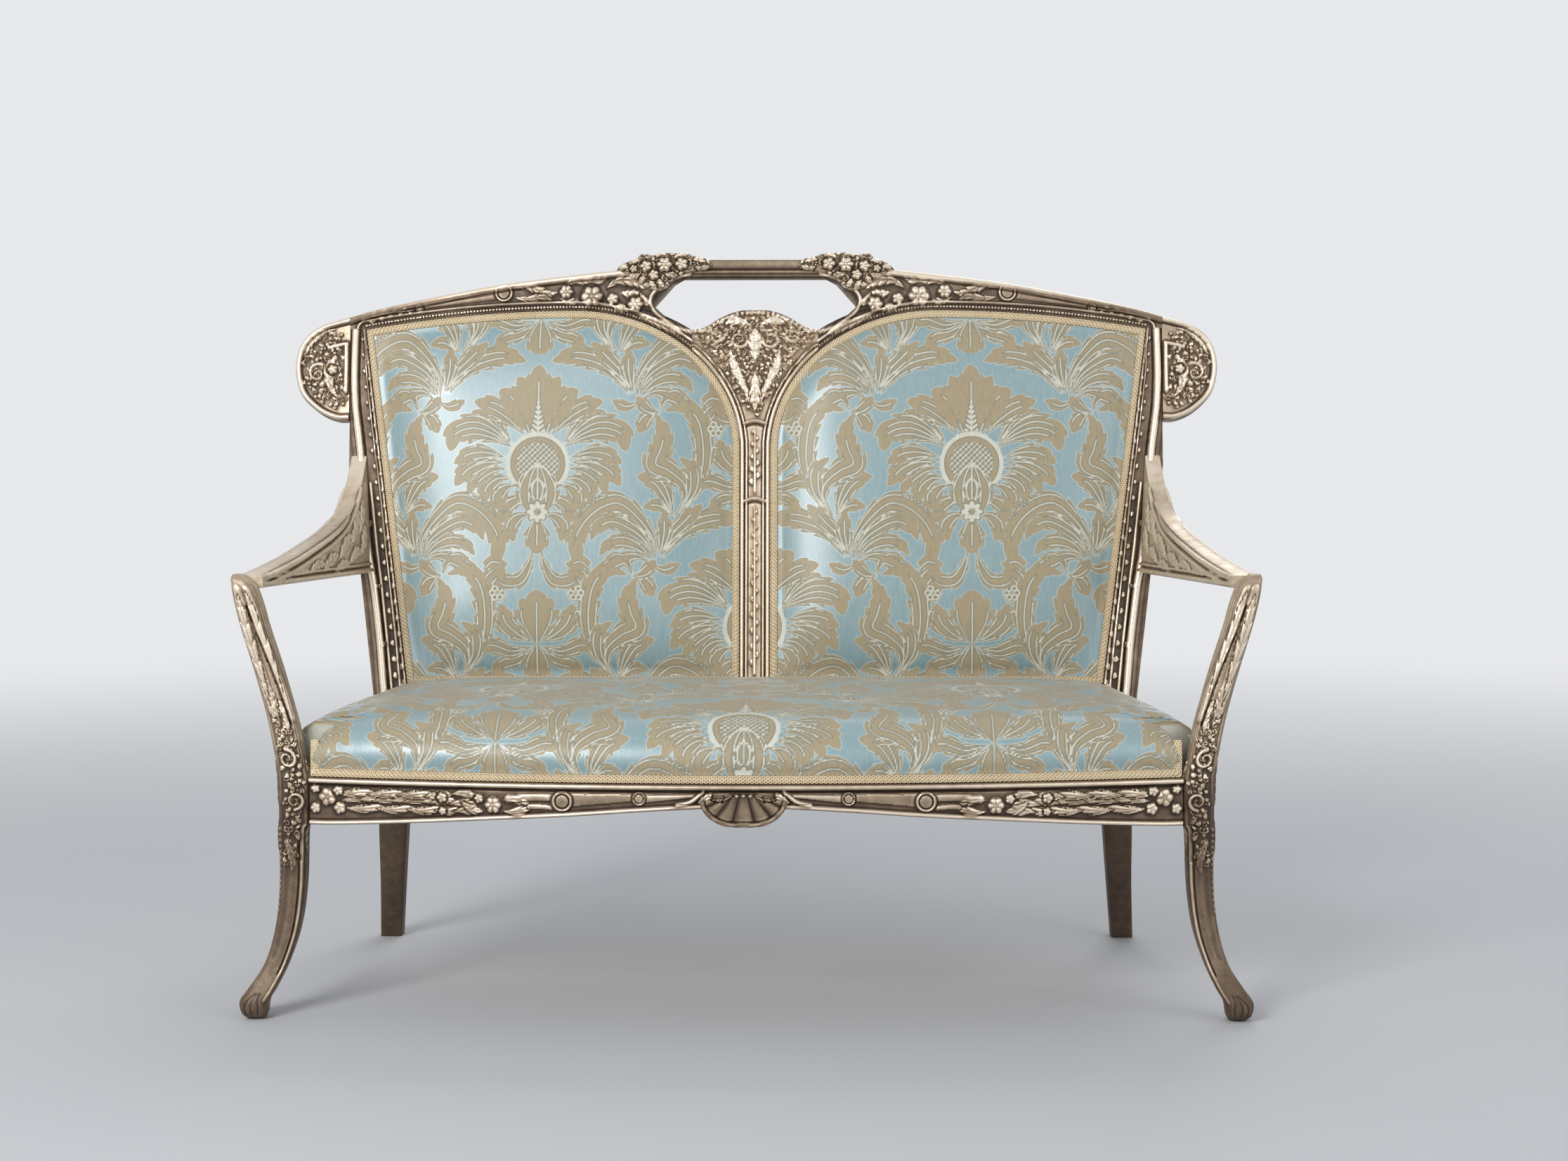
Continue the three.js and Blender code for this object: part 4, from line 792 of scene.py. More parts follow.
def skin(name, shells, material, sharp=None):
    """One piece from shells, each a list of sheets, with the fields kept as attributes."""
    parts = [welded(sheets) for sheets in shells]
    starts = np.cumsum([0] + [len(part[0]) for part in parts])
    points = np.vstack([part[0] for part in parts])
    quads = np.vstack([part[1] + start for part, start in zip(parts, starts)])
    triangles = np.vstack([part[2] + start for part, start in zip(parts, starts)])
    mesh = bpy.data.meshes.new(f"{name}-skin")
    mesh.vertices.add(len(points))
    mesh.vertices.foreach_set("co", points.astype(np.float32).ravel())
    corners = np.concatenate([quads.ravel(), triangles.ravel()]).astype(np.int32)
    sizes = np.concatenate([np.full(len(quads), 4), np.full(len(triangles), 3)])
    mesh.loops.add(len(corners))
    mesh.loops.foreach_set("vertex_index", corners)
    mesh.polygons.add(len(sizes))
    mesh.polygons.foreach_set("loop_start", (np.cumsum(sizes) - sizes).astype(np.int32))
    mesh.update(calc_edges=True)
    for key in parts[0][3]:
        layer = mesh.attributes.new(key, "FLOAT", "POINT")
        layer.data.foreach_set("value", np.concatenate([part[3][key] for part in parts]).astype(np.float32))
    mesh.shade_smooth()
    if sharp:
        mesh.set_sharp_from_angle(angle=math.radians(sharp))
    mesh.materials.append(material)
    piece = bpy.data.objects.new(f"{name}-skin", mesh)
    bpy.context.scene.collection.objects.link(piece)
    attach(piece, "root")
    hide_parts(name)
    return piece


def pair(name, shells, material, sharp=None):
    """A piece on the left, the mirror image of its shells, and one on the right."""
    left = skin(f"{name}_left", [mirrored(sheets) for sheets in shells], material, sharp)
    return left, skin(f"{name}_right", shells, material, sharp)


# The back's crest rail, of beech, sawn to the arches of the two panels below and to a long slow curve
# above, with a hand hole under its middle. A roll runs along its top and a pearled band along the
# panels. Between them lie a plain fillet, roundels, leaves, and flowers that crowd the hand hole.
RECLINE = math.radians(9.4)
BACK_FOOT = 0.4  # floor to the foot of the sloping back
STILE_FRONT = 0.497  # front of the front legs to the front of the stiles, at their foot
SPLAT_HALF = 0.024
STILE_FOOT, STILE_HEAD, STILE_OUTER = 0.556, 0.635, 0.66  # middle of the sofa to the stile's edges
CORNER_RISE, PEAK_RISE, PEAK_ACROSS = 0.603, 0.634, 0.294
SPRING_RISE, RAIL_RISE = 0.405, 0.025
JOINT_ACROSS, CREST_THICK = 0.1023, 0.032
CREST_TOP = [(0, 717), (99, 715.9), (165, 709), (221, 701), (284, 694), (407, 678), (528, 655.4), (620, 635),
             (660, 623)]
HAND_HOLE = [(102.3, 601), (122, 606), (143.6, 618.6), (163, 637), (166, 655), (147, 674), (122, 685),
             (104, 689)]


def on_back(x, up, out):
    """Points of the sloping back: x across, up the slope, and out from the frame's front face."""
    y = front_of_legs + STILE_FRONT + up * math.sin(RECLINE) - out * math.cos(RECLINE)
    return stacked(x, y, BACK_FOOT + up * math.cos(RECLINE) + out * math.sin(RECLINE))


def panel_arch(angle, inset=0.0):
    """A point of the arch over a panel, from 0 at the splat to a right angle at its peak."""
    round_x, round_up = PEAK_ACROSS - SPLAT_HALF - inset, PEAK_RISE - SPRING_RISE - inset
    return stacked(PEAK_ACROSS - round_x * np.cos(angle), SPRING_RISE + round_up * np.sin(angle))


def panel_brow(x, inset=0.0):
    """The shallow curve from an arch's peak to the stile."""
    fall = (CORNER_RISE - PEAK_RISE) * ((x - PEAK_ACROSS) / (STILE_HEAD - PEAK_ACROSS)) ** 2
    return stacked(x, PEAK_RISE - inset + fall)


joint_angle = math.acos((PEAK_ACROSS - JOINT_ACROSS) / (PEAK_ACROSS - SPLAT_HALF))
panel_head = np.vstack([
    panel_arch(np.linspace(joint_angle, math.pi / 2, 14)),
    panel_brow(np.linspace(PEAK_ACROSS, STILE_HEAD, 12)[1:]),
]) * 1000


def carved(place, plane, height):
    """The plane's points in metres, raised by height. Both are in millimetres."""
    return place(plane[..., 0] / 1000, plane[..., 1] / 1000, height / 1000)


def flat_board(plane, height, place, thick, cell, rubbed=0.0):
    """Sheets of a board whose front face is plane (m, n, 2) raised by height, both in millimetres.

    cell is the step between points each way, and rubbed how much brighter than usual the leaf is."""
    h = height.reshape(plane.shape[:2])
    behind = plane[:, np.round(np.linspace(0, plane.shape[1] - 1, 5)).astype(int)]
    fields = {"raised": np.clip(worn(h, *cell) + rubbed, -1, 1)}
    return board(carved(place, plane, h), carved(place, behind, -1000 * thick), fields)


def mirrored(sheets):
    """The same sheets on the other side of the sofa."""
    return [(sheet * (-1, 1, 1), fields) for sheet, fields in sheets]


def crest_ground(plane):
    """The carving of the crest, right of the middle."""
    g = new_ground(plane, -1.6)
    fillet = [(424, 660), (480, 651), (536, 642)]
    leaves(g, [([(398, 668), (372, 673), (340, 661), (322, 663)], 8.5, 5, 3.4),
               ([(396, 655), (372, 652), (348, 655), (330, 650)], 6.5, 4, 3.2)])
    tendril(g, fillet, 8.5, 4.5, 1.6)
    groove(g, fillet, 0, 1.2, 0.7)
    spray(g, [(640, 618), (600, 628), (558, 634)], 13, 9, 2.8, 48, 2, 0.34)
    roundels(g, [(410, 662, 14.5, 3.4, 0), (547, 636, 6.5, 2.6, 0)])
    leaves(g, [([(318, 672), (290, 682), (262, 680), (240, 688)], 8, 5, 3.4),
               ([(322, 655), (300, 648), (286, 650)], 7, 3, 3.2),
               ([(245, 668), (222, 682), (196, 680), (180, 668)], 10, 5, 3.8),
               ([(240, 650), (224, 640), (205, 632)], 8, 3, 3.4),
               ([(222, 664), (205, 660), (188, 662)], 8, 3, 3.6),
               ([(196, 628), (172, 618), (140, 603), (118, 592)], 7.5, 6, 3.2),
               ([(188, 664), (182, 650), (172, 640)], 7, 3, 3.6)])
    roundels(g, [(308, 664, 11.5, 3.6, 6), (266, 656, 18, 4.4, 6), (232, 652, 10, 3.8, 5),
                 (195, 643, 13, 4.4, 6)])
    roll(g, HAND_HOLE, -3.6, 3.6, 3.0)
    mouldings(g, panel_head, (2.6, 2.4, -0.9), (7.2, 2.4, -0.9))
    pearls(g, panel_head, 5.0, 5.2, 2.1, 0.9)
    mouldings(g, panel_head, (12.6, 2.3, 2.6), (16.2, 1.4, -0.9))
    mouldings(g, CREST_TOP, (-6.0, 5.8, 3.6), (-13.2, 1.6, -1.4))
    ease(g, CREST_TOP, 3.5)
    return g[2]


BEAM_LONG, BEAM_WIDE = 380, 76
HOLE_HEAD, BEAM_FOOT, BEAM_HEAD = (104, 716.4), (660, 603), (660, 623)
beam = patch(
    even(np.vstack([panel_head, [BEAM_FOOT]]), BEAM_LONG),
    even(smooth_path([HOLE_HEAD] + CREST_TOP[2:], 6), BEAM_LONG),
    even(np.vstack([1000 * panel_arch(joint_angle), HAND_HOLE, [HOLE_HEAD]]), BEAM_WIDE),
    even([BEAM_FOOT, BEAM_HEAD], BEAM_WIDE),
)
beam_sheets = flat_board(beam, crest_ground(beam), on_back, CREST_THICK, (1.5, 1.2), -0.26)

# The grip: a round bar over two smaller rolls, flat behind.
GRIP_BARS = [(708.6, 8.3, 4.5), (696.8, 3.6, 3.4), (691.2, 2.6, 1.8)]  # middle, half width, way out
grip_up = np.linspace(688.6, 717, 40)
grip_out = np.max([out * dome((grip_up - middle) / half) for middle, half, out in GRIP_BARS], axis=0) - 3.0
grip_plane = stacked(np.linspace(-150, 150, 160)[:, None], grip_up)
grip_height = np.broadcast_to(grip_out, grip_plane.shape[:2])
grip = flat_board(grip_plane, grip_height, on_back, CREST_THICK - 0.004, (1.9, 0.75), -0.52)

skin("crest_rail", [beam_sheets, mirrored(beam_sheets), grip], silvered, 50)


# The centre splat, between the panels. Its narrow column carries a stem of small leaves, and
# above a band it spreads with the arches into a dome under the hand hole, thick with carving.
DOME_TOP = [(0, 634), (26.5, 632), (56, 621.5), (81.6, 605.6), (102.3, 601)]


def splat_ground(plane):
    """The carving of the splat, on both sides of its middle."""
    g = new_ground(plane, -1.8)
    side = np.vstack([[(24, 25), (24, 160), (24, 300)], 1000 * panel_arch(np.linspace(0, joint_angle, 12))])
    half = [(0, 456), (27, 496), (52, 541), (86, 578), (100, 591), (56, 613), (26, 623)]
    thicket(g, half + [(-x, up) for x, up in half[:0:-1]], 7.4, 3.8, 5)
    for hand in (-1, 1):
        leaf(g, [(hand * 6, 470), (hand * 14, 500), (hand * 34, 540), (hand * 40, 566)], 8, 5, 4.0)
        tendril(g, spiral((hand * 26, 585), 15, 1.4, 90 + 90 * hand, hand), 3.4, 1.4, 4.6)
        tendril(g, spiral((hand * 62, 592), 12, 1.3, 90 + 110 * hand, hand), 3.0, 1.2, 4.2)
        leaf(g, [(hand * 4, 606), (hand * 26, 616), (hand * 50, 612)], 7, 4, 4.4)
    leaf(g, [(0, 545), (0, 572), (0, 604)], 13, 4, 5.2)
    roundel(g, (0, 516), 13, 5.0, 8)
    leaf(g, [(0, 536), (0, 500), (0, 468)], 10, 4, 4.4)
    spray(g, [(0, 40), (0, 130), (0, 215), (0, 312)], 12, 20, 3.0, 38, 1, 0.3)
    spray(g, [(0, 335), (0, 380), (0, 440)], 13, 9, 3.4, 42, 2, 0.34)
    for middle in (325, 452):
        roll(g, [(-18, middle - 5), (0, middle), (18, middle - 5)], 0, 3.0, 4.2)
        groove(g, [(-18, middle - 11), (0, middle - 6), (18, middle - 11)], 0, 2.0, 1.8)
    for hand in (1, -1):
        mouldings(g, side * (hand, 1), (hand * 3.4, 3.0, 3.8), (hand * 7.6, 1.6, -2.2),
                  (hand * 10.4, 1.8, 1.8), (hand * 13.4, 1.3, -1.4))
        pearls(g, [(hand * 102, 598), (hand * 80, 601), (hand * 56, 616), (hand * 26, 627), (0, 629)],
               0, 8.5, 3.6, 4.2)
    ease(g, [(-102, 601), (-56, 621.5), (0, 634), (56, 621.5), (102, 601)], 3)
    return g[2]


SPLAT_LONG, SPLAT_WIDE, SPLAT_FOOT = 420, 84, (24, 25.4)
arch = 1000 * panel_arch(np.linspace(0, joint_angle, 40))
splat_side = even(np.vstack([[SPLAT_FOOT], arch, DOME_TOP[-1:]]), SPLAT_LONG)
splat = patch(
    splat_side * (-1, 1),
    splat_side,
    even([(-SPLAT_FOOT[0], SPLAT_FOOT[1]), SPLAT_FOOT], SPLAT_WIDE),
    even(smooth_path([(-x, up) for x, up in DOME_TOP[:0:-1]] + DOME_TOP, 6), SPLAT_WIDE),
)
skin("centre_splat", [flat_board(splat, splat_ground(splat), on_back, 0.03, (1.5, 0.9), 0.46)], silvered,
     50)


# The rear legs run up into the back's stiles, each cut from one plank. The stile's face has a roll
# that drops from the ear past the arm, with a painted highlight along it, a reel of pearls beside it,
# and a strip of small leaves along the panel. Outside the roll it falls away plain, and is painted darker.
HIGHLIT_ROLL = np.array([
    (590, -30), (597, 25), (603, 90), (609, 140), (616, 190), (625, 240), (632, 300), (637, 350),
    (640, 400), (645, 440), (650, 480), (652, 530), (651, 600),
])
REEL = [(578, -30), (584, 25), (591, 90), (597, 140), (603, 190), (610, 240), (617, 300), (623, 350)]
STILE_LOW, STILE_BAND = -0.05, 0.057  # foot of the stile up the slope, and its width there


def stile_inner(up):
    """The stile's inner edge, which leans out along the panel."""
    return STILE_FOOT + (STILE_HEAD - STILE_FOOT) * up / CORNER_RISE


def stile_outer(up):
    """The stile's outer edge, which leans out up to 0.38 m and then stands upright."""
    foot = STILE_FOOT + STILE_BAND
    return foot + (STILE_OUTER - foot) * np.minimum(up / 0.38, 1)


def off_roll(x, up):
    """Distance out from the middle of the roll with the painted highlight."""
    return x - np.interp(up, HIGHLIT_ROLL[:, 1], HIGHLIT_ROLL[:, 0])


def stile_ground(plane):
    """The carving of a stile, right of the middle."""
    g = new_ground(plane, -1.4)
    g[2][:] -= np.clip((off_roll(g[0], g[1]) - 3) / 12, 0, 1) ** 1.4 * 7
    inner = [(1000 * stile_inner(u), 1000 * u) for u in (STILE_LOW, 0.15, 0.3, 0.45, 0.603)]
    stem = [(566, -20), (577, 90), (587, 170), (598, 260), (609, 350), (620, 430), (631, 520), (637, 596)]
    spray(g, stem, 12.5, 46, 3.2, 46, 2, 0.36)
    roll(g, REEL, 0, 2.6, 2.8)
    groove(g, HIGHLIT_ROLL, 7.4, 2.0, 2.4)
    roundels(g, [(597, 88, 4.6, 4.6, 0), (608, 182, 4.6, 4.6, 0), (622, 284, 4.6, 4.6, 0)])
    mouldings(g, HIGHLIT_ROLL, (0, 6.2, 6.2), (-7.6, 1.4, -1.0))
    mouldings(g, inner, (-2.2, 2.2, 1.2), (-5.4, 1.2, -1.2))
    ease(g, inner, 1.2)
    return g[2]


def unit_ring(count, power=5.0):
    """A rounded square of half width 1, as points at equal steps from the middle of its front."""
    angle = np.linspace(0, 2 * math.pi, 1441) - math.pi / 2
    c, s = np.cos(angle), np.sin(angle)
    square = stacked(np.sign(c) * np.abs(c) ** (2 / power), np.sign(s) * np.abs(s) ** (2 / power))
    square[0] = square[-1] = (0, -1)
    return even(square, count + 1)[:-1]


def closed_tube(points, raised):
    """Sheets of a tube of rings, each closed here, with each end a fan to the ring's middle."""
    points, raised = (np.concatenate([each, each[:, :1]], axis=1) for each in (points, raised))
    centre = np.repeat(points.mean(axis=1, keepdims=True), points.shape[1], axis=1)
    raised = np.concatenate([raised[:1], raised, raised[-1:]])
    return [(np.concatenate([centre[:1], points, centre[-1:]]), {"raised": raised})]


def limb(middle, half_wide, half_deep, height, ring, cell, power=5.0):
    """Sheets of an upright limb: a ring round each place of middle, carved by height, and closed ends."""
    x, y = ring[None, :, 0], ring[None, :, 1]
    wide, deep = half_wide[:, None], half_deep[:, None]
    out = stacked(np.sign(x) * np.abs(x) ** (power - 1) / wide, np.sign(y) * np.abs(y) ** (power - 1) / deep)
    out /= 1000 * np.linalg.norm(out, axis=-1, keepdims=True)
    middle_x, middle_y, middle_z = middle.T[:, :, None]
    off_x, off_y = x * wide + out[..., 0] * height, y * deep + out[..., 1] * height
    points = stacked(middle_x + off_x, middle_y + off_y, middle_z)
    return closed_tube(points, worn(height, *cell))


def stations(rows, count):
    """A table of stations, its first column the height, resampled smoothly at even heights."""
    fine = smooth_path(np.array(rows, float), 10)
    height = np.linspace(fine[0, 0], fine[-1, 0], count)
    keep = np.concatenate([[True], np.diff(np.maximum.accumulate(fine[:, 0])) > 1e-9])
    fine = fine[keep]
    return stacked(height, *(np.interp(height, fine[:, 0], column) for column in fine.T[1:]))


REAR_LEG = [  # height, rake, splay, width, depth
    (0.0, 0.068, 0.0265, 0.035, 0.036),
    (0.101, 0.0258, 0.0146, 0.0395, 0.0403),
    (0.19, 0.0027, 0.0057, 0.046, 0.0442),
    (0.274, 0.0, 0.0, 0.05, 0.048),
    (0.36, 0.0, 0.0, 0.05, 0.048),
]
STILE_LONG, STILE_WIDE = 420, 44
up = np.linspace(STILE_LOW, CORNER_RISE - 0.0005, STILE_LONG)[:, None]
across_stile = stile_inner(up) + (stile_outer(up) - stile_inner(up)) * np.linspace(0, 1, STILE_WIDE)
plane = 1000 * stacked(across_stile, up)
from_roll = np.abs(off_roll(plane[..., 0], plane[..., 1]))
stile_thick = 0.048 - 0.012 * np.clip(up, 0, None) / CORNER_RISE
# Painted highlight: the leaf on the roll is brighter, and it is darker outside the roll.
rubbed = 0.6 * (from_roll < 6) - 0.36 * (from_roll > 7)
stile = flat_board(plane, stile_ground(plane), on_back, stile_thick, (1.5, 1.3), rubbed)
height, rake, splay, wide, deep = stations(REAR_LEG, 120).T
middle = stacked(STILE_FOOT + splay + wide / 2, front_of_legs + STILE_FRONT + rake + deep / 2, height)
leg = limb(middle, wide / 2, deep / 2, np.zeros((120, 64)), unit_ring(64, 7), (3, 3), 7)
leg[0][1]["raised"] -= 0.7  # painted shade of the seat: the leaf is darker
pair("rear_leg", [stile, leg], silvered, 50)


# The ears at the ends of the crest: a rounded board with a bright roll round its edge, filled with
# close leaves and curls, and with an angled double bead in its inner corner.
EAR_EDGE = [(660.4, 453), (682, 453.9), (710, 466.6), (737.4, 493.8), (748.2, 531.2), (745.2, 565.2),
            (731.6, 590.7), (704.9, 609.4), (660.4, 623)]


def ear_ground(plane):
    """The carving of an ear, right of the middle."""
    g = new_ground(plane, -1.2)
    field = [(668, 474), (690, 474), (716, 488), (734, 514), (737, 550), (722, 580), (700, 594), (672, 600)]
    thicket(g, field, 8.0, 4.0, 11)
    tendril(g, spiral((712, 530), 20, 1.5, 250, -1), 4.4, 1.6, 5.2)
    leaf(g, [(676, 486), (690, 508), (694, 536), (682, 560)], 9, 5, 4.8)
    leaf(g, [(680, 604), (706, 596), (726, 578), (736, 556)], 7, 6, 4.0)
    roundel(g, (688, 536), 8.5, 5.0, 5)
    mouldings(g, EAR_EDGE, (5.2, 4.2, 4.6), (10.6, 1.4, -1.6))
    ease(g, EAR_EDGE, 2.0)
    corner = [(666, 500), (666, 570), (668, 578), (694, 572)]
    mouldings(g, corner, (0, 3.6, 4.8), (5.2, 1.4, -1.6))
    return g[2]


outline = even(smooth_path(EAR_EDGE, 8), 150)
base = even([EAR_EDGE[0], EAR_EDGE[-1]], 150)
ear_plane = base[:, None] + (outline - base)[:, None] * np.linspace(0, 1, 60)[None, :, None]
ear = flat_board(ear_plane, ear_ground(ear_plane), on_back, 0.029, (1.4, 1.5), 0.24)
pair("crest_ear", [ear], silvered, 50)


# The bouquets that hide the joints of the grip: heaped flowers and leaves, carved almost in the round.
BOUQUET = [
    (226, 700), (214, 711), (196, 717), (184, 727), (166, 724), (150, 728), (132, 727.6), (114, 726.5),
    (98, 722), (82, 718), (68, 709), (76, 700), (98, 696), (118, 690), (134, 680), (146, 668), (160, 664),
    (176, 668), (190, 676), (206, 686),
]
BOUQUET_MIDDLE, BOUQUET_THICK = (146, 698), 28


def bouquet_sheets():
    """Rays from a middle line to a wavy outline, heaped up and set with flowers."""
    edge = even(smooth_path(BOUQUET + BOUQUET[:1], 8), 220)
    core_x = np.clip(edge[:, 0], 105, 188)
    core = stacked(core_x, 698 + (core_x - 146) * 0.02) * 0.96 + np.array(BOUQUET_MIDDLE) * 0.04
    t = np.linspace(0, 1, 50)
    plane = core[:, None] + (edge - core)[:, None] * t[None, :, None]
    g = new_ground(plane)
    thicket(g, BOUQUET, 10, 5.0, 23)
    for spine in (
        [(100, 704), (88, 700), (74, 705)], [(104, 714), (92, 716), (80, 712)],
        [(134, 716), (124, 722), (112, 722)], [(150, 694), (138, 690), (126, 690)],
        [(162, 718), (156, 724), (146, 724)],
        [(186, 712), (194, 714), (206, 708)], [(206, 700), (214, 704), (222, 701)],
        [(172, 684), (166, 672), (160, 666)], [(158, 686), (154, 676), (148, 670)],
        [(186, 692), (196, 688), (206, 690)], [(180, 690), (184, 682), (190, 678)],
    ):
        leaf(g, spine, 6, 3, 5.6)
    roundels(g, [(120, 708, 11, 6.5, 5), (148, 707, 13, 6.5, 6), (178, 704, 10, 6.5, 5),
                 (198, 700, 7, 6.5, 5), (165, 690, 9, 6.5, 5)])
    h = g[2].reshape(plane.shape[:2]) + 8.0 * np.sqrt(1 - t**2.2)
    front, rear = carved(on_back, plane, h), carved(on_back, edge, -BOUQUET_THICK)
    inner = np.broadcast_to(carved(on_back, np.array(BOUQUET_MIDDLE), -BOUQUET_THICK), rear.shape)
    middle = np.broadcast_to(front[:, :1].mean(0, keepdims=True), front[:, :1].shape)
    raised = worn(h, 1.5, 1.0)
    raised = np.concatenate([raised[:, :1], raised, np.full((len(edge), 2), 0.1)], axis=1)
    return [(np.concatenate([middle, front, rear[:, None], inner[:, None]], axis=1), {"raised": raised})]


pair("crest_bouquet", [bouquet_sheets()], silvered, 60)


# Each front leg and the arm's support above it are one piece. The leg springs out to a scrolled toe.
# A bead follows its edges, with a groove inside it, and close scrolls cover the block at the rail.
# The support leans out in two rounded strands with a dark channel between them.
LEG_MIDDLE, LEG_SIZE, LEG_BLOCK_FOOT, RAIL_TOP = 0.642, 0.046, 0.277, 0.345
LEG_SPLAY, LEG_FORWARD, POST_LEAN, POST_TOP = 0.057, 0.024, 0.08, 0.632
LEG = [  # shares of the block's foot height, splay, width, depth, forward throw
    (0, 0.98, 0.55, 0.6, 1), (0.035, 1, 0.8, 0.95, 1), (0.1, 0.99, 0.92, 1.02, 1),
    (0.165, 0.79, 0.88, 0.92, 0.93), (0.29, 0.46, 0.76, 0.8, 0.66), (0.47, 0.2, 0.8, 0.84, 0.3),
    (0.69, 0.07, 0.84, 0.92, 0.08), (0.96, 0.04, 0.9, 1, 0), (1, 0, 1, 1, 0),
]
POST = [  # shares of the height over the rail, lean, width, depth
    (0, 0, 1, 1), (0.12, 0.09, 0.92, 0.94), (0.26, 0.19, 0.9, 0.9), (0.37, 0.29, 0.88, 0.88),
    (0.54, 0.46, 0.88, 0.86), (0.74, 0.68, 0.86, 0.84), (0.86, 0.79, 0.84, 0.84), (0.94, 0.87, 0.74, 0.84),
    (0.98, 0.95, 0.54, 0.76), (1, 0.99, 0.34, 0.62),
]


def leg_ground(plane):
    """The carving of a right leg, whose front's corners are at 20 and its rear ones at 60 mm round it."""
    g = new_ground(plane)
    roll(g, [(-17, 30), (-17, 276)], 0, 3.0, 1.8)
    groove(g, [(-12, 66), (-12, 272)], 0, 2.2, 2.6)
    groove(g, [(8, 90), (9, 150), (6, 236)], 0, 6, 0.8)
    for edge in (-24, -56, 56):
        groove(g, [(edge, 60), (edge, 300)], 0, 1.8, 1.0)
    pearls(g, [(21, 150), (21, 200), (20, 276)], 0, 8.5, 3.0, 1.8)
    block = [(-13, 236), (13, 214), (16, 300), (15, 352), (17, 420), (10, 456), (-14, 452), (-17, 350),
             (-14, 300)]
    x, y, h = g
    h[(np.abs(x) < 17.5) & (y > 226) & (y < 456)] -= 1.6
    thicket(g, block, 8.5, 2.6, 31)
    tendril(g, spiral((2, 372), 14, 1.5, 90, 1), 3.2, 1.2, 3.8)
    tendril(g, spiral((-3, 312), 13, 1.5, 270, -1), 3.0, 1.2, 3.6)
    leaves(g, [([(8, 262), (4, 244), (-2, 226), (0, 210)], 7, 4, 2.2),
               ([(0, 424), (6, 448), (2, 476)], 8, 4, 3.0), ([(-8, 404), (-10, 430), (-6, 456)], 6, 3, 2.8)])
    for foot in (-9, 2, 11):
        groove(g, [(foot, 6), (foot * 1.1, 20), (foot * 0.4, 38)], 0, 2.4, 1.0)
    for side in (30, -30):
        leaves(g, [([(side, 300), (side * 1.2, 330), (side, 372)], 8, 5, 2.6),
                   ([(side * 1.3, 290), (side, 262), (side * 1.1, 232)], 7, 5, 2.4)])
    roll(g, [(-20, 430), (-18, 480), (-12, 550), (-7, 612)], 0, 7.4, 2.2)
    roll(g, [(8, 440), (9, 500), (11, 560), (10, 612)], 0, 8.6, 2.2)
    leaf(g, [(-13, 440), (-11, 520), (-4, 610)], 9, 6, 3.2)
    leaf(g, [(9, 446), (11, 520), (11, 606)], 9, 6, 3.0)
    groove(g, [(-15, 420), (-11, 470), (-5, 530), (1, 588)], 0, 2.6, 4.6)
    groove(g, [(-21, 360), (-21, 600)], 0, 1.4, 1.4)
    groove(g, [(21, 440), (21, 600)], 0, 1.4, 1.4)
    for side in (40, -40):
        roll(g, [(side, 380), (side, 610)], 0, 12, 1.4)
        groove(g, [(side, 380), (side, 606)], 14, 1.6, 1.2)
    return h


LEG_LONG, LEG_ROUND, LEG_SQUARE = 440, 116, 3.8
half_size = LEG_SIZE / 2
lower = stations(LEG, 200) * (LEG_BLOCK_FOOT, LEG_SPLAY, half_size, half_size, LEG_FORWARD)
upper = stations(POST, 240) * (POST_TOP - RAIL_TOP, POST_LEAN, half_size, half_size) + (RAIL_TOP, 0, 0, 0)
leg_table = np.vstack([lower, np.pad(upper, ((0, 0), (0, 1)))])
even_z = np.linspace(0, POST_TOP, LEG_LONG)
leg_out, leg_wide, leg_deep, leg_forward = resampled(leg_table[:, 1:], leg_table[:, 0], even_z).T
leg_middle = stacked(LEG_MIDDLE + leg_out, front_of_legs + LEG_SIZE - leg_forward - leg_deep, even_z)
u, z = np.meshgrid((np.arange(LEG_ROUND) / LEG_ROUND * 160 + 80) % 160 - 80, even_z * 1000)
ends = np.clip(np.minimum(z / 12, (POST_TOP * 1000 - z) / 14), 0, 1)
leg_height = leg_ground(stacked(u, z)).reshape(u.shape) * ends
leg_height = leg_height * np.minimum(1, leg_wide / 0.018)[:, None] - 0.6
leg_ring = unit_ring(LEG_ROUND, LEG_SQUARE)
leg = limb(leg_middle, leg_wide, leg_deep, leg_height, leg_ring, (1.45, 1.4), LEG_SQUARE)
# The leaf is darker on the leg below the rail and a little brighter on the support above.
tone_by_height = np.interp(leg[0][0][..., 2], [0, 0.08, 0.3, 0.4, 0.55], [-0.66, -0.46, -0.7, 0.12, 0.1])
leg[0][1]["raised"] = np.clip(leg[0][1]["raised"] + tone_by_height, -1, 1)
pair("front_leg", [leg], silvered, 60)


# The front rail bows out between the legs. A roll runs along its top and another along its arched
# foot. Between them, from each leg, come flowers, long folded leaves, a roundel, and plain tapered
# fillets that point to the shell.
RAIL_HALF, RAIL_BOW, RAIL_THICK, RAIL_INSET = 0.619, 0.07, 0.032, 0.005
RAIL_FOOT = [(0, 314), (136, 306.2), (254, 297.4), (353, 291.4), (452, 285), (541, 280), (590, 277.6),
             (619, 277.4)]


def rail_face(x):
    """How far behind the front of the legs the rail's face is at x."""
    return RAIL_INSET - RAIL_BOW * (1 - (x / RAIL_HALF) ** 2)


def on_rail(x, z, out):
    """Points of the bowed rail: x across, z over the floor, and out from its face."""
    return stacked(x, front_of_legs + rail_face(x) - out, z)


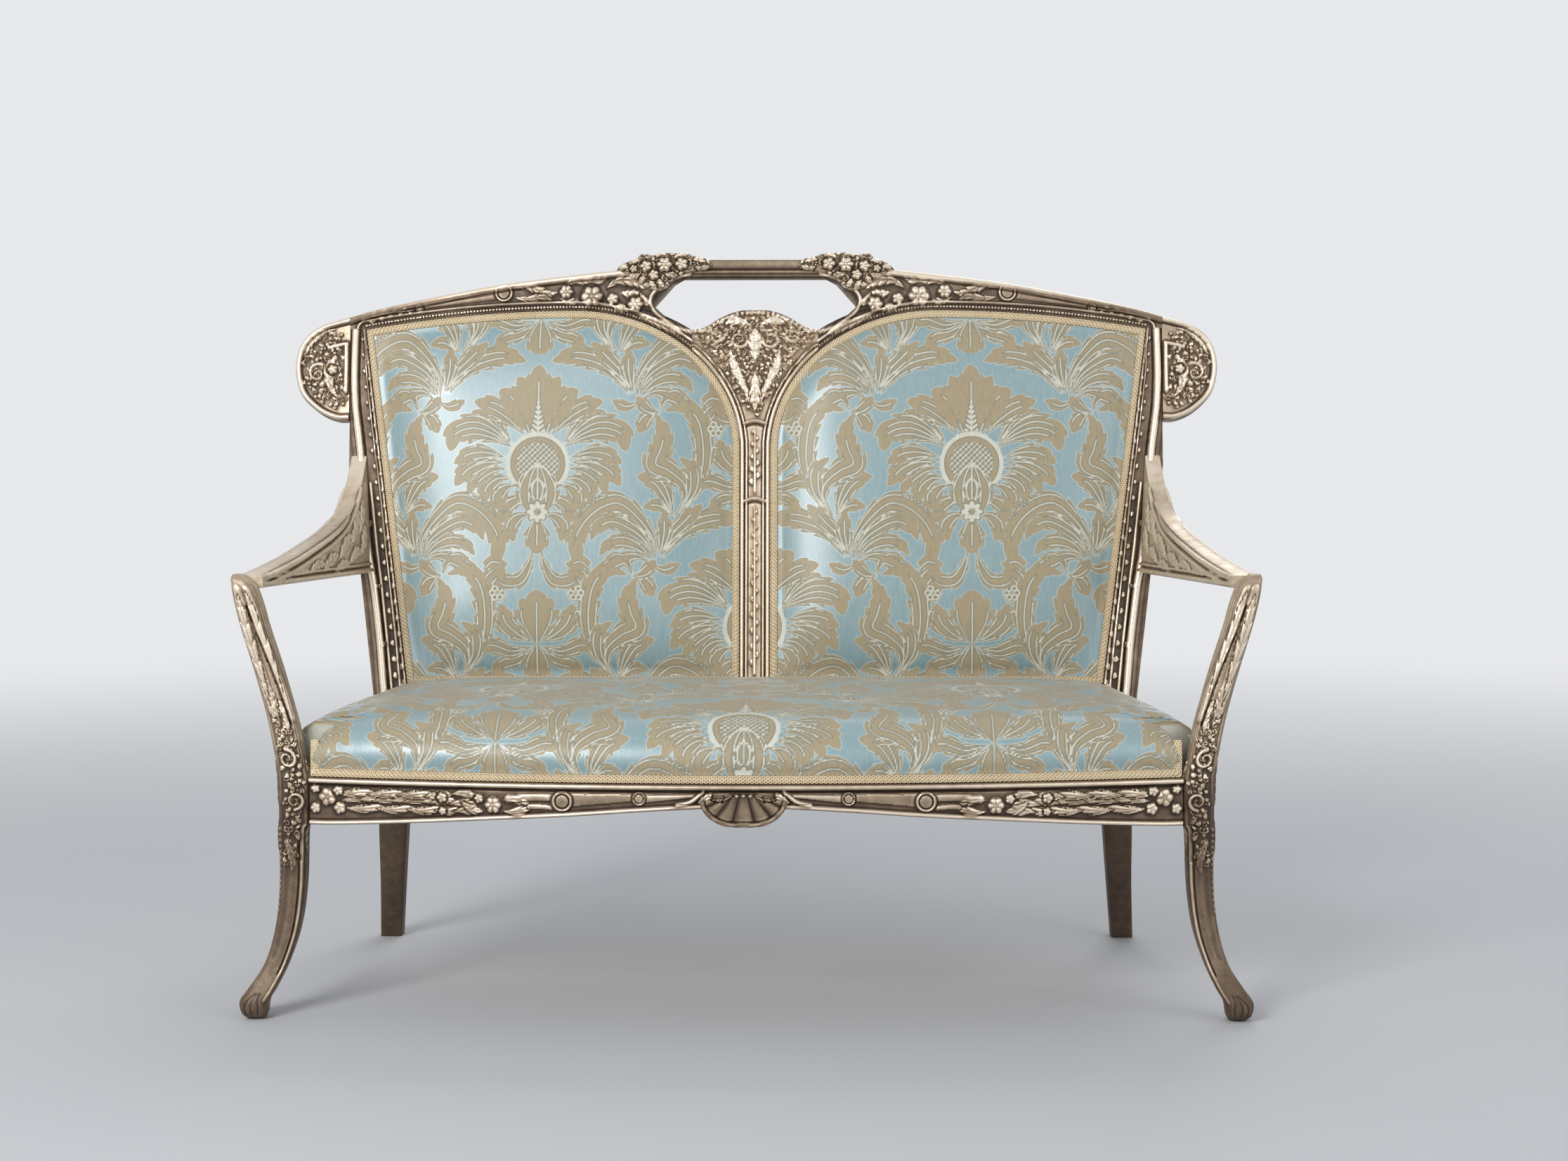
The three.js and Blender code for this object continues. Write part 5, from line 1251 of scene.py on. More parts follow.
def rail_ground(plane):
    """The carving of the front rail, right of the middle."""
    g = new_ground(plane, -2.4)
    for start, reach in ((566, 58), (520, 56), (476, 54), (436, 40)):
        for level, rise in ((305, -2), (315, 3), (325, 0)):
            foot = start + (level - 305) * 0.7
            spine = [(foot, level - 2), (foot - reach * 0.5, level + rise), (foot - reach, level + 2)]
            leaf(g, spine, 7.0, 1, 3.2)
    for spine in (
        [(414, 326), (396, 329), (372, 324)], [(418, 312), (398, 315), (374, 314)],
        [(410, 302), (392, 305), (372, 301)], [(340, 320), (322, 322), (300, 316)],
        [(340, 305), (322, 304), (298, 310)], [(400, 320), (384, 308), (366, 304)],
    ):
        leaf(g, spine, 7.0, 2, 3.4)
    roundels(g, [(592, 318, 13, 3.8, 5), (574, 303, 9, 3.8, 5), (576, 328, 8, 3.8, 5), (610, 302, 8, 3.8, 5),
                 (610, 330, 7, 3.8, 5), (425, 322, 8, 3.8, 5), (424, 303, 6, 3.8, 5), (352, 313, 12, 3.8, 6),
                 (372, 322, 7, 3.8, 5)])
    tendril(g, [(330, 322), (300, 325), (270, 325)], 5.5, 4.5, 1.6)
    tendril(g, [(300, 312), (284, 312), (270, 311)], 3.5, 3.0, 1.6)
    tendril(g, [(238, 322), (200, 324), (160, 326)], 8.5, 5.0, 0.6)
    tendril(g, [(134, 325), (100, 327), (70, 329)], 5.0, 1.8, 1.8)
    roundels(g, [(254, 320, 14.5, 3.8, 0), (146, 325, 9.5, 3.2, 0)])
    tendril(g, [(92, 316), (74, 321), (56, 335)], 3.6, 2.6, 4.0)
    leaf(g, [(66, 318), (52, 326), (44, 334)], 6, 3, 4.0)
    mouldings(g, RAIL_FOOT, (3.4, 3.4, 2.6), (8.0, 1.4, -1.2))
    mouldings(g, [(0, 345), (619, 345)], (-3.8, 4.4, 4.6), (-10.4, 2.2, -3.2))
    return g[2]


RAIL_LONG, RAIL_TALL, RAIL_HEAD = 840, 46, 344.6
rail_x = np.linspace(-RAIL_HALF, RAIL_HALF, RAIL_LONG)[:, None] * 1000
foot_path = smooth_path(RAIL_FOOT, 12)
foot_z = np.interp(np.abs(rail_x), foot_path[:, 0], foot_path[:, 1])
rail_plane = stacked(rail_x, foot_z + (RAIL_HEAD - foot_z) * np.linspace(0, 1, RAIL_TALL))
rail = flat_board(rail_plane, rail_ground(np.abs(rail_plane)), on_rail, RAIL_THICK, (1.5, 1.2), -0.28)
skin("front_seat_rail", [rail], silvered, 50)


# The shell carved for the middle of the front rail: flutes that spread from its crown to a beaded
# edge, over two small leaves.
def shell_sheets():
    """Rays from the crown to a rolled lower edge, with a deep flute for every few rays."""
    angle = np.radians(np.linspace(-90, 90, 240))
    t = np.linspace(0, 1, 48)
    sine = np.abs(np.sin(angle))
    edge = stacked(61 * np.sign(angle) * sine**0.9, 329 - 7 * sine - 42 * np.cos(angle) ** 1.25)
    crown = stacked(edge[:, 0] * 0.3, 333.0)
    plane = crown[:, None] + (edge - crown)[:, None] * t[None, :, None]
    flute = np.abs(np.cos(angle * 6.5))[:, None] ** 0.8
    g = new_ground(plane)
    g[2][:] = (3 + 7.5 * np.sin(math.pi * 0.62 * t + 0.25) * (0.3 + 0.7 * flute)).ravel()
    groove(g, edge[2:-2:6], 7.4, 1.6, 2.0)
    roll(g, edge[2:-2:6], 3.6, 3.4, 9.5, 4.0)
    for hand in (-1, 1):
        leaf(g, [(hand * 12, 332), (hand * 28, 328), (hand * 46, 326)], 6, 3, 8.5)
    pearls(g, [(-14, 330), (0, 330.5), (14, 330)], 0, 8.5, 4.0, 10.0)
    h = g[2].reshape(plane.shape[:2])
    front, rear = carved(on_rail, plane, h), carved(on_rail, edge, 0.2)
    seam = np.broadcast_to(on_rail(0, 0.332, 0.0002), rear.shape)
    top = np.broadcast_to(front[:, :1].mean(0, keepdims=True), front[:, :1].shape)
    raised = worn(h, 1.0, 1.2) - 0.55
    raised = np.concatenate([raised[:, :1], raised[:, :1], raised, np.full((240, 1), 0.1)], axis=1)
    return closed_tube(np.concatenate([seam[:, None], top, front, rear[:, None]], axis=1), raised)


skin("apron_shell", [shell_sheets()], silvered, 60)


# The open arms: from each support they run back and in, and sweep up into the stile. Two bright
# rolls follow the sweep and one the underside, with carved leaves in the field between them.
ARM_UNDER, ARM_FALL, ARM_THICK, ARM_SWEEP, ARM_SHEAR = 0.611, 0.01, 0.018, 0.16, 0.06
ARM_FRONT, ARM_REAR, ARM_WIDE, ARM_REAR_WIDE = 0.708, 0.631, 0.037, 0.027
ARM_RISE = np.array([
    (0, 0), (0.16, 0.05), (0.32, 0.11), (0.48, 0.19), (0.64, 0.28), (0.76, 0.38), (0.86, 0.53), (0.94, 0.74),
    (1, 1),
])
ARM_LONG, ARM_SIDE, ARM_FLAT, ARM_EASE = 330, 78, 13, 0.0045


def arm_ground(plane):
    """The carving of an arm's side, back from its front end and up from the floor, in millimetres."""
    g = new_ground(plane, -1.2)
    low = stacked(480 * ARM_RISE[:, 0], 611 - 10 * ARM_RISE[:, 0])
    top = stacked(480 * ARM_RISE[:, 0], 629 + 160 * ARM_RISE[:, 1])
    for spine, width in (
        ([(120, 620), (160, 624), (196, 622)], 6), ([(190, 618), (230, 630), (268, 628)], 8),
        ([(250, 616), (290, 632), (330, 640)], 10), ([(300, 612), (340, 622), (378, 624)], 9),
        ([(330, 630), (362, 650), (400, 668)], 11), ([(376, 622), (410, 636), (440, 640)], 11),
        ([(392, 650), (424, 676), (446, 706)], 12), ([(430, 630), (456, 650), (470, 680)], 12),
        ([(436, 664), (458, 690), (470, 720)], 10),
    ):
        leaf(g, spine, width, 4, 3.2)
    thicket(g, [(60, 612), (120, 612), (120, 632), (60, 626)], 11, 2.4, 3)
    mouldings(g, low, (4.6, 4.4, 4.4), (10.4, 1.6, -1.8), (14.4, 2.4, 2.4))
    mouldings(g, top, (-4.8, 4.6, 4.4), (-11.4, 2.0, -2.0), (-17.0, 3.8, 3.6))
    return g[2]


def arm_sheets():
    """A ring of four faces round each place along the arm, with the sides carved and the edges eased."""
    share = np.linspace(0, 1, ARM_LONG)[:, None]
    rise_path = smooth_path(ARM_RISE, 12)
    rise = np.interp(share, rise_path[:, 0], rise_path[:, 1])
    low = ARM_UNDER - ARM_FALL * share
    tall = ARM_UNDER + ARM_THICK + ARM_SWEEP * rise - low
    half = (ARM_WIDE + (ARM_REAR_WIDE - ARM_WIDE) * share) / 2
    edge, flat = np.linspace(-1, 1, ARM_SIDE), np.linspace(-1, 1, ARM_FLAT + 2)[1:-1]
    over = np.concatenate([np.full(ARM_SIDE, 1.0), -flat, np.full(ARM_SIDE, -1.0), flat])
    up = np.concatenate([edge, np.full(ARM_FLAT, 1.0), -edge, np.full(ARM_FLAT, -1.0)])
    ease_by = np.minimum(ARM_EASE, tall * 0.24)
    x_off, z_off = np.abs(over) * half, np.abs(up) * tall / 2
    to_side = np.clip((x_off - half + ease_by) / ease_by, 0, 1)
    to_end = np.clip((z_off - tall / 2 + ease_by) / ease_by, 0, 1)
    drawn_in = ease_by * (1 - 1 / np.maximum(np.hypot(to_side, to_end), 1))
    x = np.sign(over) * (x_off - to_side * drawn_in)
    z = low + tall / 2 + np.sign(up) * (z_off - to_end * drawn_in)
    stile_face = STILE_FRONT + (z - BACK_FOOT) * math.tan(RECLINE) - 0.0002
    y = LEG_SIZE + 0.0003 + (stile_face - LEG_SIZE - 0.0003) * share
    on_side = np.clip((1 - np.abs(up)) / 0.03, 0, 1) * (np.abs(over) == 1)
    h = arm_ground(1000 * stacked(y - LEG_SIZE, z)).reshape(y.shape)
    h = np.where(np.abs(over) == 1, h * np.clip(share / 0.1, 0, 1), 0.4 * (1 - over**2))
    x = x + ARM_FRONT + (ARM_REAR - ARM_FRONT) * share + ARM_SHEAR * (z - low)
    x = x + np.sign(over) * on_side * h / 1000
    return closed_tube(stacked(x, front_of_legs + y, z), worn(h, 1.4, 1.6) + 0.5)


pair("arm", [arm_sheets()], silvered, 60)


# The back panels: hair stuffing on webbing in each opening of the frame, covered in damask that is
# drawn tight and tacked round the rim, so that each crowns softly in the middle.
PALMETTE_ACROSS, PALMETTE_UP = 0.349, 0.382
PANEL_RIM, PANEL_CROWN = -0.004, 0.026  # out from the frame's face, at the rim and by the crown
PANEL_INSET, PANEL_LEVEL = 0.004, 0.055  # of the cover in its opening, and the share that stays level


def panel_sides(inset):
    """An opening's sides, drawn in by inset: foot, head, splat side with half the arch, and stile."""
    t = np.linspace(0, 1, 60)
    low = RAIL_RISE + inset
    foot = stacked(SPLAT_HALF + inset + (stile_inner(low) - SPLAT_HALF - 2 * inset) * t, low)
    brow = panel_brow(PEAK_ACROSS + (STILE_HEAD - inset - PEAK_ACROSS) * t[1:], inset)
    stile = foot[-1] + (brow[-1] - foot[-1]) * t[:, None]
    upright = stacked(foot[0, 0], low + (SPRING_RISE - low) * t)
    splat_side = np.vstack([upright, panel_arch(t[1:] * math.pi / 4, inset)])
    return foot, np.vstack([panel_arch((1 + t) * math.pi / 4, inset), brow]), splat_side, stile


def panel_patch(inset, count):
    """Across and up at count by count places in an opening, drawn in by inset."""
    plane = patch(*(even(edge, count) for edge in panel_sides(inset)))
    return plane[..., 0], plane[..., 1]


def finer(grid, rows, columns):
    """A grid of points resampled with cubic weights to more rows and columns."""

    def weights(count, wanted):
        """What each of count rows gives to each of the wanted ones."""
        t = np.linspace(0, count - 1, wanted)
        i = np.minimum(t.astype(int), count - 2)
        f = t - i
        cubic = [-f + 2 * f**2 - f**3, 2 - 5 * f**2 + 3 * f**3, f + 4 * f**2 - 3 * f**3, f**3 - f**2]
        made = np.zeros((wanted, count))
        for k in range(4):
            np.add.at(made, (np.arange(wanted), np.clip(i + k - 1, 0, count - 1)), cubic[k] / 2)
        return made

    near = np.einsum("ri,ijk->rjk", weights(grid.shape[0], rows), grid)
    return np.einsum("cj,rjk->rck", weights(grid.shape[1], columns), near)


CLOTH_FRAMES, MOST_MOVE = 20, 0.004
BACK_PRESSURE, SEAT_PRESSURE = 0.08, 0.015  # of the stuffing on its cover


def settled(grid, pressure):
    """The grid as a cloth that is tacked along its two outer rows and pushed out by the stuffing.

    It takes a few frames of Blender's cloth without gravity, and no point moves more than MOST_MOVE."""
    rows, columns = grid.shape[:2]
    held = np.ones((rows, columns), bool)
    held[2:-2, 2:-2] = False
    mesh = bpy.data.meshes.new("cloth_at_work")
    mesh.from_pydata(grid.reshape(-1, 3).tolist(), [], grid_quads(rows, columns).tolist())
    cloth = bpy.data.objects.new("cloth_at_work", mesh)
    bpy.context.scene.collection.objects.link(cloth)
    pins = cloth.vertex_groups.new(name="held")
    pins.add(np.flatnonzero(held).tolist(), 1.0, "REPLACE")
    modifier = cloth.modifiers.new("cloth", "CLOTH")
    settings = modifier.settings
    settings.vertex_group_mass = "held"
    settings.use_pressure = True
    settings.uniform_pressure_force = pressure
    settings.tension_stiffness = settings.compression_stiffness = 40
    settings.bending_stiffness = 2
    settings.effector_weights.gravity = 0
    for step in range(1, CLOTH_FRAMES + 1):
        bpy.context.scene.frame_set(step)
    seen = cloth.evaluated_get(bpy.context.evaluated_depsgraph_get())
    moved = np.empty(rows * columns * 3, np.float32)
    seen.data.vertices.foreach_get("co", moved)
    shift = moved.reshape(rows, columns, 3) - grid
    size = np.linalg.norm(shift, axis=-1, keepdims=True)
    bpy.context.scene.frame_set(1)
    bpy.data.objects.remove(cloth)
    bpy.data.meshes.remove(mesh)
    return grid + shift * np.minimum(1, MOST_MOVE / np.maximum(size, 1e-9))


PANEL_ROWS, PANEL_COARSE, COVER_THICK = 310, 64, 0.0015


def crown(rows, rim):
    """Share of the crown over a patch: level for rim of the way in from each edge, then a round rise."""
    e = 1 - np.abs(np.linspace(-1, 1, rows))
    rise = 1 - (1 - np.clip((e - rim) / 0.42, 0, 1)) ** 2.4
    return rise[:, None] * rise[None, :]


def back_cover(side):
    """The cover of one back panel, crowned over its opening and settled as cloth."""
    across, up = panel_patch(PANEL_INSET, PANEL_COARSE)
    grid = on_back(side * across, up, PANEL_RIM + PANEL_CROWN * crown(PANEL_COARSE, PANEL_LEVEL))
    grid = settled(grid if side > 0 else grid[::-1], BACK_PRESSURE)
    grid = finer(grid, PANEL_ROWS, PANEL_ROWS)
    a = side * grid[..., 0] - PALMETTE_ACROSS
    b = (grid[..., 2] - BACK_FOOT) / math.cos(RECLINE) - PALMETTE_UP
    figure, line = damask_at(a, b)
    return grid, {"figure": figure, "line": line}


def cover_piece(name, grid, fields):
    """A cover of damask, as thick as its cloth, with fewer points on its inner side."""
    along_rows, along_columns = np.gradient(grid, axis=(0, 1))
    inward = np.cross(along_columns, along_rows)
    inward *= COVER_THICK / np.maximum(np.linalg.norm(inward, axis=-1, keepdims=True), 1e-12)
    kept = np.round(np.linspace(0, grid.shape[1] - 1, grid.shape[1] // 6)).astype(int)
    skin(name, [board(grid, (grid + inward)[:, kept], fields)], damask)


for name, side in (("left", -1), ("right", 1)):
    cover_piece(f"back_cover_{name}", *back_cover(side))


# The seat: hair stuffing on webbing, with a firm front edge and a crowned top. Its damask is drawn
# down tight over the edge, cut round each arm support, and tacked along the rails.
SEAT_HALF, SEAT_SET_BACK, SEAT_REAR, NOTCH_BACK = 0.616, 0.008, 0.493, 0.049
SIDE_FRONT, SIDE_REAR = 0.659, 0.6  # middle of the sofa to the side rail's face, at its front and rear
SEAT_FOOT, SEAT_RISE = 0.3456, 0.1165
SEAT_PROFILE = [  # millimetres in from the edge, and share of the rise
    (0, 0), (0.6, 0.094), (1.4, 0.243), (4.7, 0.365), (8.4, 0.458), (13.7, 0.547), (19.5, 0.606), (42, 0.759),
    (85, 0.888), (149, 0.972), (235, 1.0), (320, 1.0),
]
SEAT_WIDE, SEAT_DEEP, SEAT_STEP = 560, 270, 10
SEAT_PALMETTE, SEAT_SWELL, SEAT_FORWARD = 0.085, 0.007, 0.0017
SEAT_PULLS = [  # across and back of each pull's middle, the way it runs in radians, and its depth in mm
    (0.6, 0.02, 0.9, 3.4), (0.585, 0.0, 1.25, 2.6), (0.64, 0.075, 0.35, 2.2), (0.56, -0.01, 1.45, 1.6),
]
HEM, HEM_LEVEL, HEM_NARROW = np.array([0.001, 0.01, 0.02, 0.03]), 0.3494, 0.93  # over the rear rail


def seat_edge(y):
    """The seat's half width at y, which steps out behind the arm support."""
    behind = SIDE_FRONT + (SIDE_REAR - SIDE_FRONT) * (y - LEG_SIZE) / (STILE_FRONT - LEG_SIZE) - SEAT_SET_BACK
    step = np.clip((y - NOTCH_BACK + 0.003) / 0.007, 0, 1)
    return SEAT_HALF + (behind - SEAT_HALF) * step**2 * (3 - 2 * step)


def seat_profile(inside):
    """Share of the seat's rise at a distance in from its edge, in metres."""
    table = smooth_path(SEAT_PROFILE, 10)
    return np.interp(inside * 1000, np.maximum.accumulate(table[:, 0]), table[:, 1])


def seat_steps(span, count):
    """Distances from one edge to the other over span, and the even lengths of cloth at which they are."""
    d = np.linspace(0, span, 4000)
    gone = lengths(stacked(d, SEAT_RISE * seat_profile(np.minimum(d, span - d))))
    cloth = np.linspace(0, gone[-1], count)
    return np.interp(cloth, gone, d), cloth


def seat_grid(wide, deep):
    """Points of the seat, and the lengths of cloth across from its middle and back from its front."""
    d, cloth_across = seat_steps(2 * SEAT_HALF, wide)
    e, cloth_back = seat_steps(SEAT_REAR - SEAT_SET_BACK - rail_face(0), deep)
    u, v = d[:, None] / SEAT_HALF - 1, e / e[-1]
    x = u * SEAT_HALF
    for _ in range(3):
        front = rail_face(np.minimum(np.abs(x), SEAT_HALF)) + SEAT_SET_BACK
        y = front + (SEAT_REAR - front) * v
        x = u * seat_edge(y)
    to_side = np.maximum(seat_edge(y) - np.abs(x), 0)
    rises = [seat_profile(to_side), seat_profile(np.maximum(y - front, 0)), seat_profile(3 * (SEAT_REAR - y))]
    share = sum(np.maximum(rise, 1e-4) ** -6.0 for rise in rises) ** (-1 / 6)  # a rounded least of the three
    share = np.where(share < 2e-4, 0, np.minimum(share, 1))
    swell = SEAT_SWELL * np.sin(math.pi * np.clip((share - 0.13) / 0.5, 0, 1))
    x = x + np.sign(x) * swell * np.exp(-to_side / 0.02) * (y > NOTCH_BACK + 0.02)
    y = y - swell * np.exp(-(y - front) / 0.02)
    points = stacked(x, front_of_legs + y - SEAT_FORWARD, SEAT_FOOT + SEAT_RISE * share)
    return points, cloth_across - cloth_across[-1] / 2, cloth_back


def seat_cover():
    """The seat's grid, settled as cloth, with shallow pulls where it is drawn round the supports."""
    grid, cloth_across, cloth_back = seat_grid(SEAT_WIDE, SEAT_DEEP)
    rows = [np.append(np.arange(0, size - 1, SEAT_STEP), size - 1) for size in grid.shape[:2]]
    coarse = grid[np.ix_(*rows)]
    shift = settled(coarse, SEAT_PRESSURE) - coarse
    for axis, row in enumerate(rows):
        at = np.interp(np.arange(row[-1] + 1), row, np.arange(len(row)))
        low = np.minimum(at.astype(int), shift.shape[axis] - 2)
        f = at - low
        f = (f * f * (3 - 2 * f)).reshape((-1, 1) if axis else (-1, 1, 1))
        shift = np.take(shift, low, axis) * (1 - f) + np.take(shift, low + 1, axis) * f
    grid = grid + shift
    x, y = grid[..., 0], grid[..., 1] - front_of_legs
    for place_x, place_y, way, deep in SEAT_PULLS:
        u = (place_x - np.abs(x)) * math.cos(way) + (y - place_y) * math.sin(way)
        v = (y - place_y) * math.cos(way) - (place_x - np.abs(x)) * math.sin(way)
        pull = np.exp(-((v / 0.011) ** 2) - (u / 0.09) ** 2) * (1 - 0.3 * np.cos(v * 200))
        grid[..., 2] -= deep / 1000 * pull * np.clip((grid[..., 2] - SEAT_FOOT) / 0.03, 0, 1)
    hem = grid[:, -1:] * (HEM_NARROW, 1, 0) + stacked(0, HEM, HEM_LEVEL)
    gone = np.append(cloth_back[:-1], cloth_back[-1] + HEM) - SEAT_PALMETTE
    figure, line = damask_at(*np.meshgrid(cloth_across, gone, indexing="ij"))
    return np.concatenate([grid[:, :-1], hem], axis=1), {"figure": figure, "line": line}


cover_piece("seat_cover", *seat_cover())


# The braid that hides the tacks: a gimp of old-gold silk, with a row of loops on each side of a
# twisted cord. It runs round each back panel and along the foot of the seat.
BRAID_WIDE, BRAID_STEP, BRAID_INSET, BRAID_OUT = 0.012, 0.00085, 0.0006, -0.0036
GIMP_COLUMNS, GIMP_HALF, LOOP_PITCH = 17, 6.1, 6.4
OFF_COVER = 0.0019  # from the seat's own surface out to the foot of its braid
PAST_NOTCH = 0.06  # where the side's edge is straight behind the arm support
BACK_OUT = (0, -math.cos(RECLINE), math.sin(RECLINE))


def braid_group():
    """Gold silk gimp's colour and roughness: painted highlight where raised, painted shade between loops."""
    group, given, place = node_group("gold_gimp", Raised=0)
    fibre = noise(group, place, 900, 2)
    faded = noise(group, place, 12, 3)
    level = maths(group, "MULTIPLY_ADD", given["Raised"], 0.5, 0.5)
    level = maths(group, "MULTIPLY_ADD", maths(group, "SUBTRACT", fibre, 0.5), 0.4, level)
    level = maths(group, "MULTIPLY_ADD", maths(group, "SUBTRACT", faded, 0.5), 0.3, level)
    golds = [(0.08, (0.13, 0.085, 0.04)), (0.42, (0.42, 0.29, 0.14)), (0.66, (0.66, 0.5, 0.29)),
             (0.95, (0.84, 0.72, 0.5))]
    colour = ramp(group, level, golds)
    rough = maths(group, "MULTIPLY_ADD", fibre, 0.2, 0.5)
    return with_outputs(group, Color=colour, Roughness=rough, Height=fibre)


gimp = grouped_material("gold_gimp", braid_group(), {}, {"Raised": "raised"}, 0.4, 0.0004, Sheen_Weight=0.3)


def gimp_relief(s, w):
    """Height in millimetres at s along the gimp and w across it, from -6 to 6."""
    height = 0.5
    for side in (-1, 1):
        p = np.mod(s + (side > 0) * LOOP_PITCH / 2, LOOP_PITCH) - LOOP_PITCH / 2
        from_ring = np.hypot(p, (w - side * 3.5) * 1.1) - 2.1
        height = np.maximum(height, 2.0 * dome(from_ring / 1.15))
    twist = 1.7 + 0.55 * np.sin((s + 1.2 * w) * 2 * math.pi / 3.2)
    return np.maximum(height, twist * dome(w / 1.5))


def gimp_sheets(inner, outer, out, ring=False):
    """A gimp between two edges (m, 3), raised along the vector out. Its foot lies on the edges.

    The ends of a ring meet after a whole number of loops."""
    middle = (inner + outer) / 2
    gone = lengths(middle) * 1000
    if ring:
        gone *= LOOP_PITCH * round(gone[-1] / LOOP_PITCH) / gone[-1]
    h = gimp_relief(gone[:, None], np.linspace(-GIMP_HALF, GIMP_HALF, GIMP_COLUMNS))
    h[:, [0, -1]] = 0.3
    t = np.linspace(0, 1, GIMP_COLUMNS)[:, None]
    face = inner[:, None] + (outer - inner)[:, None] * t + np.array(out) * h[..., None] / 1000
    foot = np.stack([inner, middle, outer], axis=1)
    # The raised field paints highlight on the loops and cord and shade between them.
    sheets = board(face, foot, {"raised": np.clip((h - 1.1) / 0.9, -1, 1)})
    return sheets[:1] if ring else sheets


def even_pair(first, second):
    """Two polylines of equal point count, resampled together along the first for the braid's loops."""
    gone = lengths(first)
    at = np.linspace(0, gone[-1], int(gone[-1] / BRAID_STEP) + 2)
    return resampled(first, gone, at), resampled(second, gone, at)


loops = []
for inset in (BRAID_INSET, BRAID_INSET + BRAID_WIDE):
    foot, head, splat_side, stile = (even(edge, 200) for edge in panel_sides(inset))
    loop = np.vstack([foot, stile[1:], head[-2::-1], splat_side[-2::-1]])
    loops.append(on_back(loop[:, 0], loop[:, 1], BRAID_OUT))
outer, inner = even_pair(*loops)
pair("back_braid", [gimp_sheets(inner, outer, BACK_OUT, ring=True)], gimp)

turn_x, turn_top = 0.612, 0.398
run_x = np.linspace(-turn_x, turn_x, 400)
run_y = rail_face(run_x) + SEAT_SET_BACK - OFF_COVER
rise_z = np.linspace(SEAT_FOOT + BRAID_WIDE / 2, turn_top, 60)
rise_y = run_y[0] + np.interp(rise_z, [SEAT_FOOT, 0.374, 0.388, 0.398], [0.0, 0.0008, 0.0025, 0.0055])


def front_braid_edge(half_run, z, shorter=0.0):
    """One edge of the front braid: down beside a leg, along the rail's bow, and up beside the other."""
    rise = np.vstack([(half_run, run_y[0], z), stacked(half_run, rise_y, rise_z)[6:]])
    run = stacked(run_x * (1 - shorter), run_y, z)[3:-3]
    return np.vstack([rise[::-1] * (-1, 1, 1), run, rise]) + (0, front_of_legs, 0)


high_edge = front_braid_edge(turn_x - BRAID_WIDE / 2, SEAT_FOOT + BRAID_WIDE, 0.008)
high_edge, low_edge = even_pair(high_edge, front_braid_edge(turn_x + BRAID_WIDE / 2, SEAT_FOOT))
skin("seat_braid_front", [gimp_sheets(low_edge, high_edge, (0, -1.0, 0))], gimp)

side_y = np.linspace(NOTCH_BACK + 0.001, SEAT_REAR, 560)
near_x, rear_x = seat_edge(PAST_NOTCH), seat_edge(SEAT_REAR)
side_x = near_x + (rear_x - near_x) * (side_y - PAST_NOTCH) / (SEAT_REAR - PAST_NOTCH) + OFF_COVER
low_edge = stacked(side_x, front_of_legs + side_y, SEAT_FOOT)
pair("seat_braid", [gimp_sheets(low_edge, low_edge + (0, 0, BRAID_WIDE), (1.0, 0, 0))], gimp)


# What lies behind the covers: the outside-back cloths, tacked flat in their rebates, jute webbing
# that is woven both ways and strained over the rails, and the hair stuffing in its hessian.
def plain_weave_group():
    """Colour and height of a plain woven cloth in two tones, with slubs."""
    grey = (0.4, 0.4, 0.4, 1)
    group, given, place = node_group("plain_weave", Warp=grey, Weft=grey, Pitch=1.0)
    parts = group.nodes.new("ShaderNodeSeparateXYZ")
    group.links.new(place, parts.inputs[0])
    turn = maths(group, "DIVIDE", 2 * math.pi, given["Pitch"])
    slope = maths(group, "ADD", parts.outputs["Y"], parts.outputs["Z"])
    first = maths(group, "SINE", maths(group, "MULTIPLY", parts.outputs["X"], turn))
    second = maths(group, "SINE", maths(group, "MULTIPLY", slope, turn))
    over = maths(group, "MULTIPLY", first, second)
    slub = noise(group, place, 240, 3)
    mix = maths(group, "MULTIPLY_ADD", over, 0.4, slub)
    colour = blend_colour(group, mix, given["Warp"], given["Weft"])
    relief = maths(group, "ADD", maths(group, "ABSOLUTE", over), slub)
    rough = maths(group, "MULTIPLY_ADD", slub, 0.15, 0.78)
    return with_outputs(group, Color=colour, Roughness=rough, Height=relief)


plain_weave = plain_weave_group()


def woven(name, warp, weft, pitch, bump, depth):
    """A cloth of the plain weave in its own yarns."""
    values = {"Warp": (*warp, 1), "Weft": (*weft, 1), "Pitch": pitch}
    return grouped_material(name, plain_weave, values, {}, bump, depth)


lining = woven("lining", (0.36, 0.46, 0.5), (0.47, 0.56, 0.58), 0.0022, 0.5, 0.0004)
jute = woven("jute", (0.24, 0.16, 0.08), (0.4, 0.29, 0.16), 0.005, 0.7, 0.0008)
hessian = woven("hessian", (0.2, 0.14, 0.08), (0.33, 0.25, 0.15), 0.0035, 0.7, 0.0006)

CLOTH_ROWS, CLOTH_INSET, CLOTH_OUT, CLOTH_THICK, CLOTH_SLACK = 60, 0.0006, -0.0268, 0.0016, 0.0012
hang = 1 - np.linspace(-1, 1, CLOTH_ROWS) ** 2
out = CLOTH_OUT + CLOTH_SLACK * np.outer(hang, hang)
across, up = panel_patch(CLOTH_INSET, CLOTH_ROWS)
front, rear = on_back(across, up, out), on_back(across, up, out - CLOTH_THICK)
cloths = pair("outside_back_cloth", [board(front, rear, {})], lining)

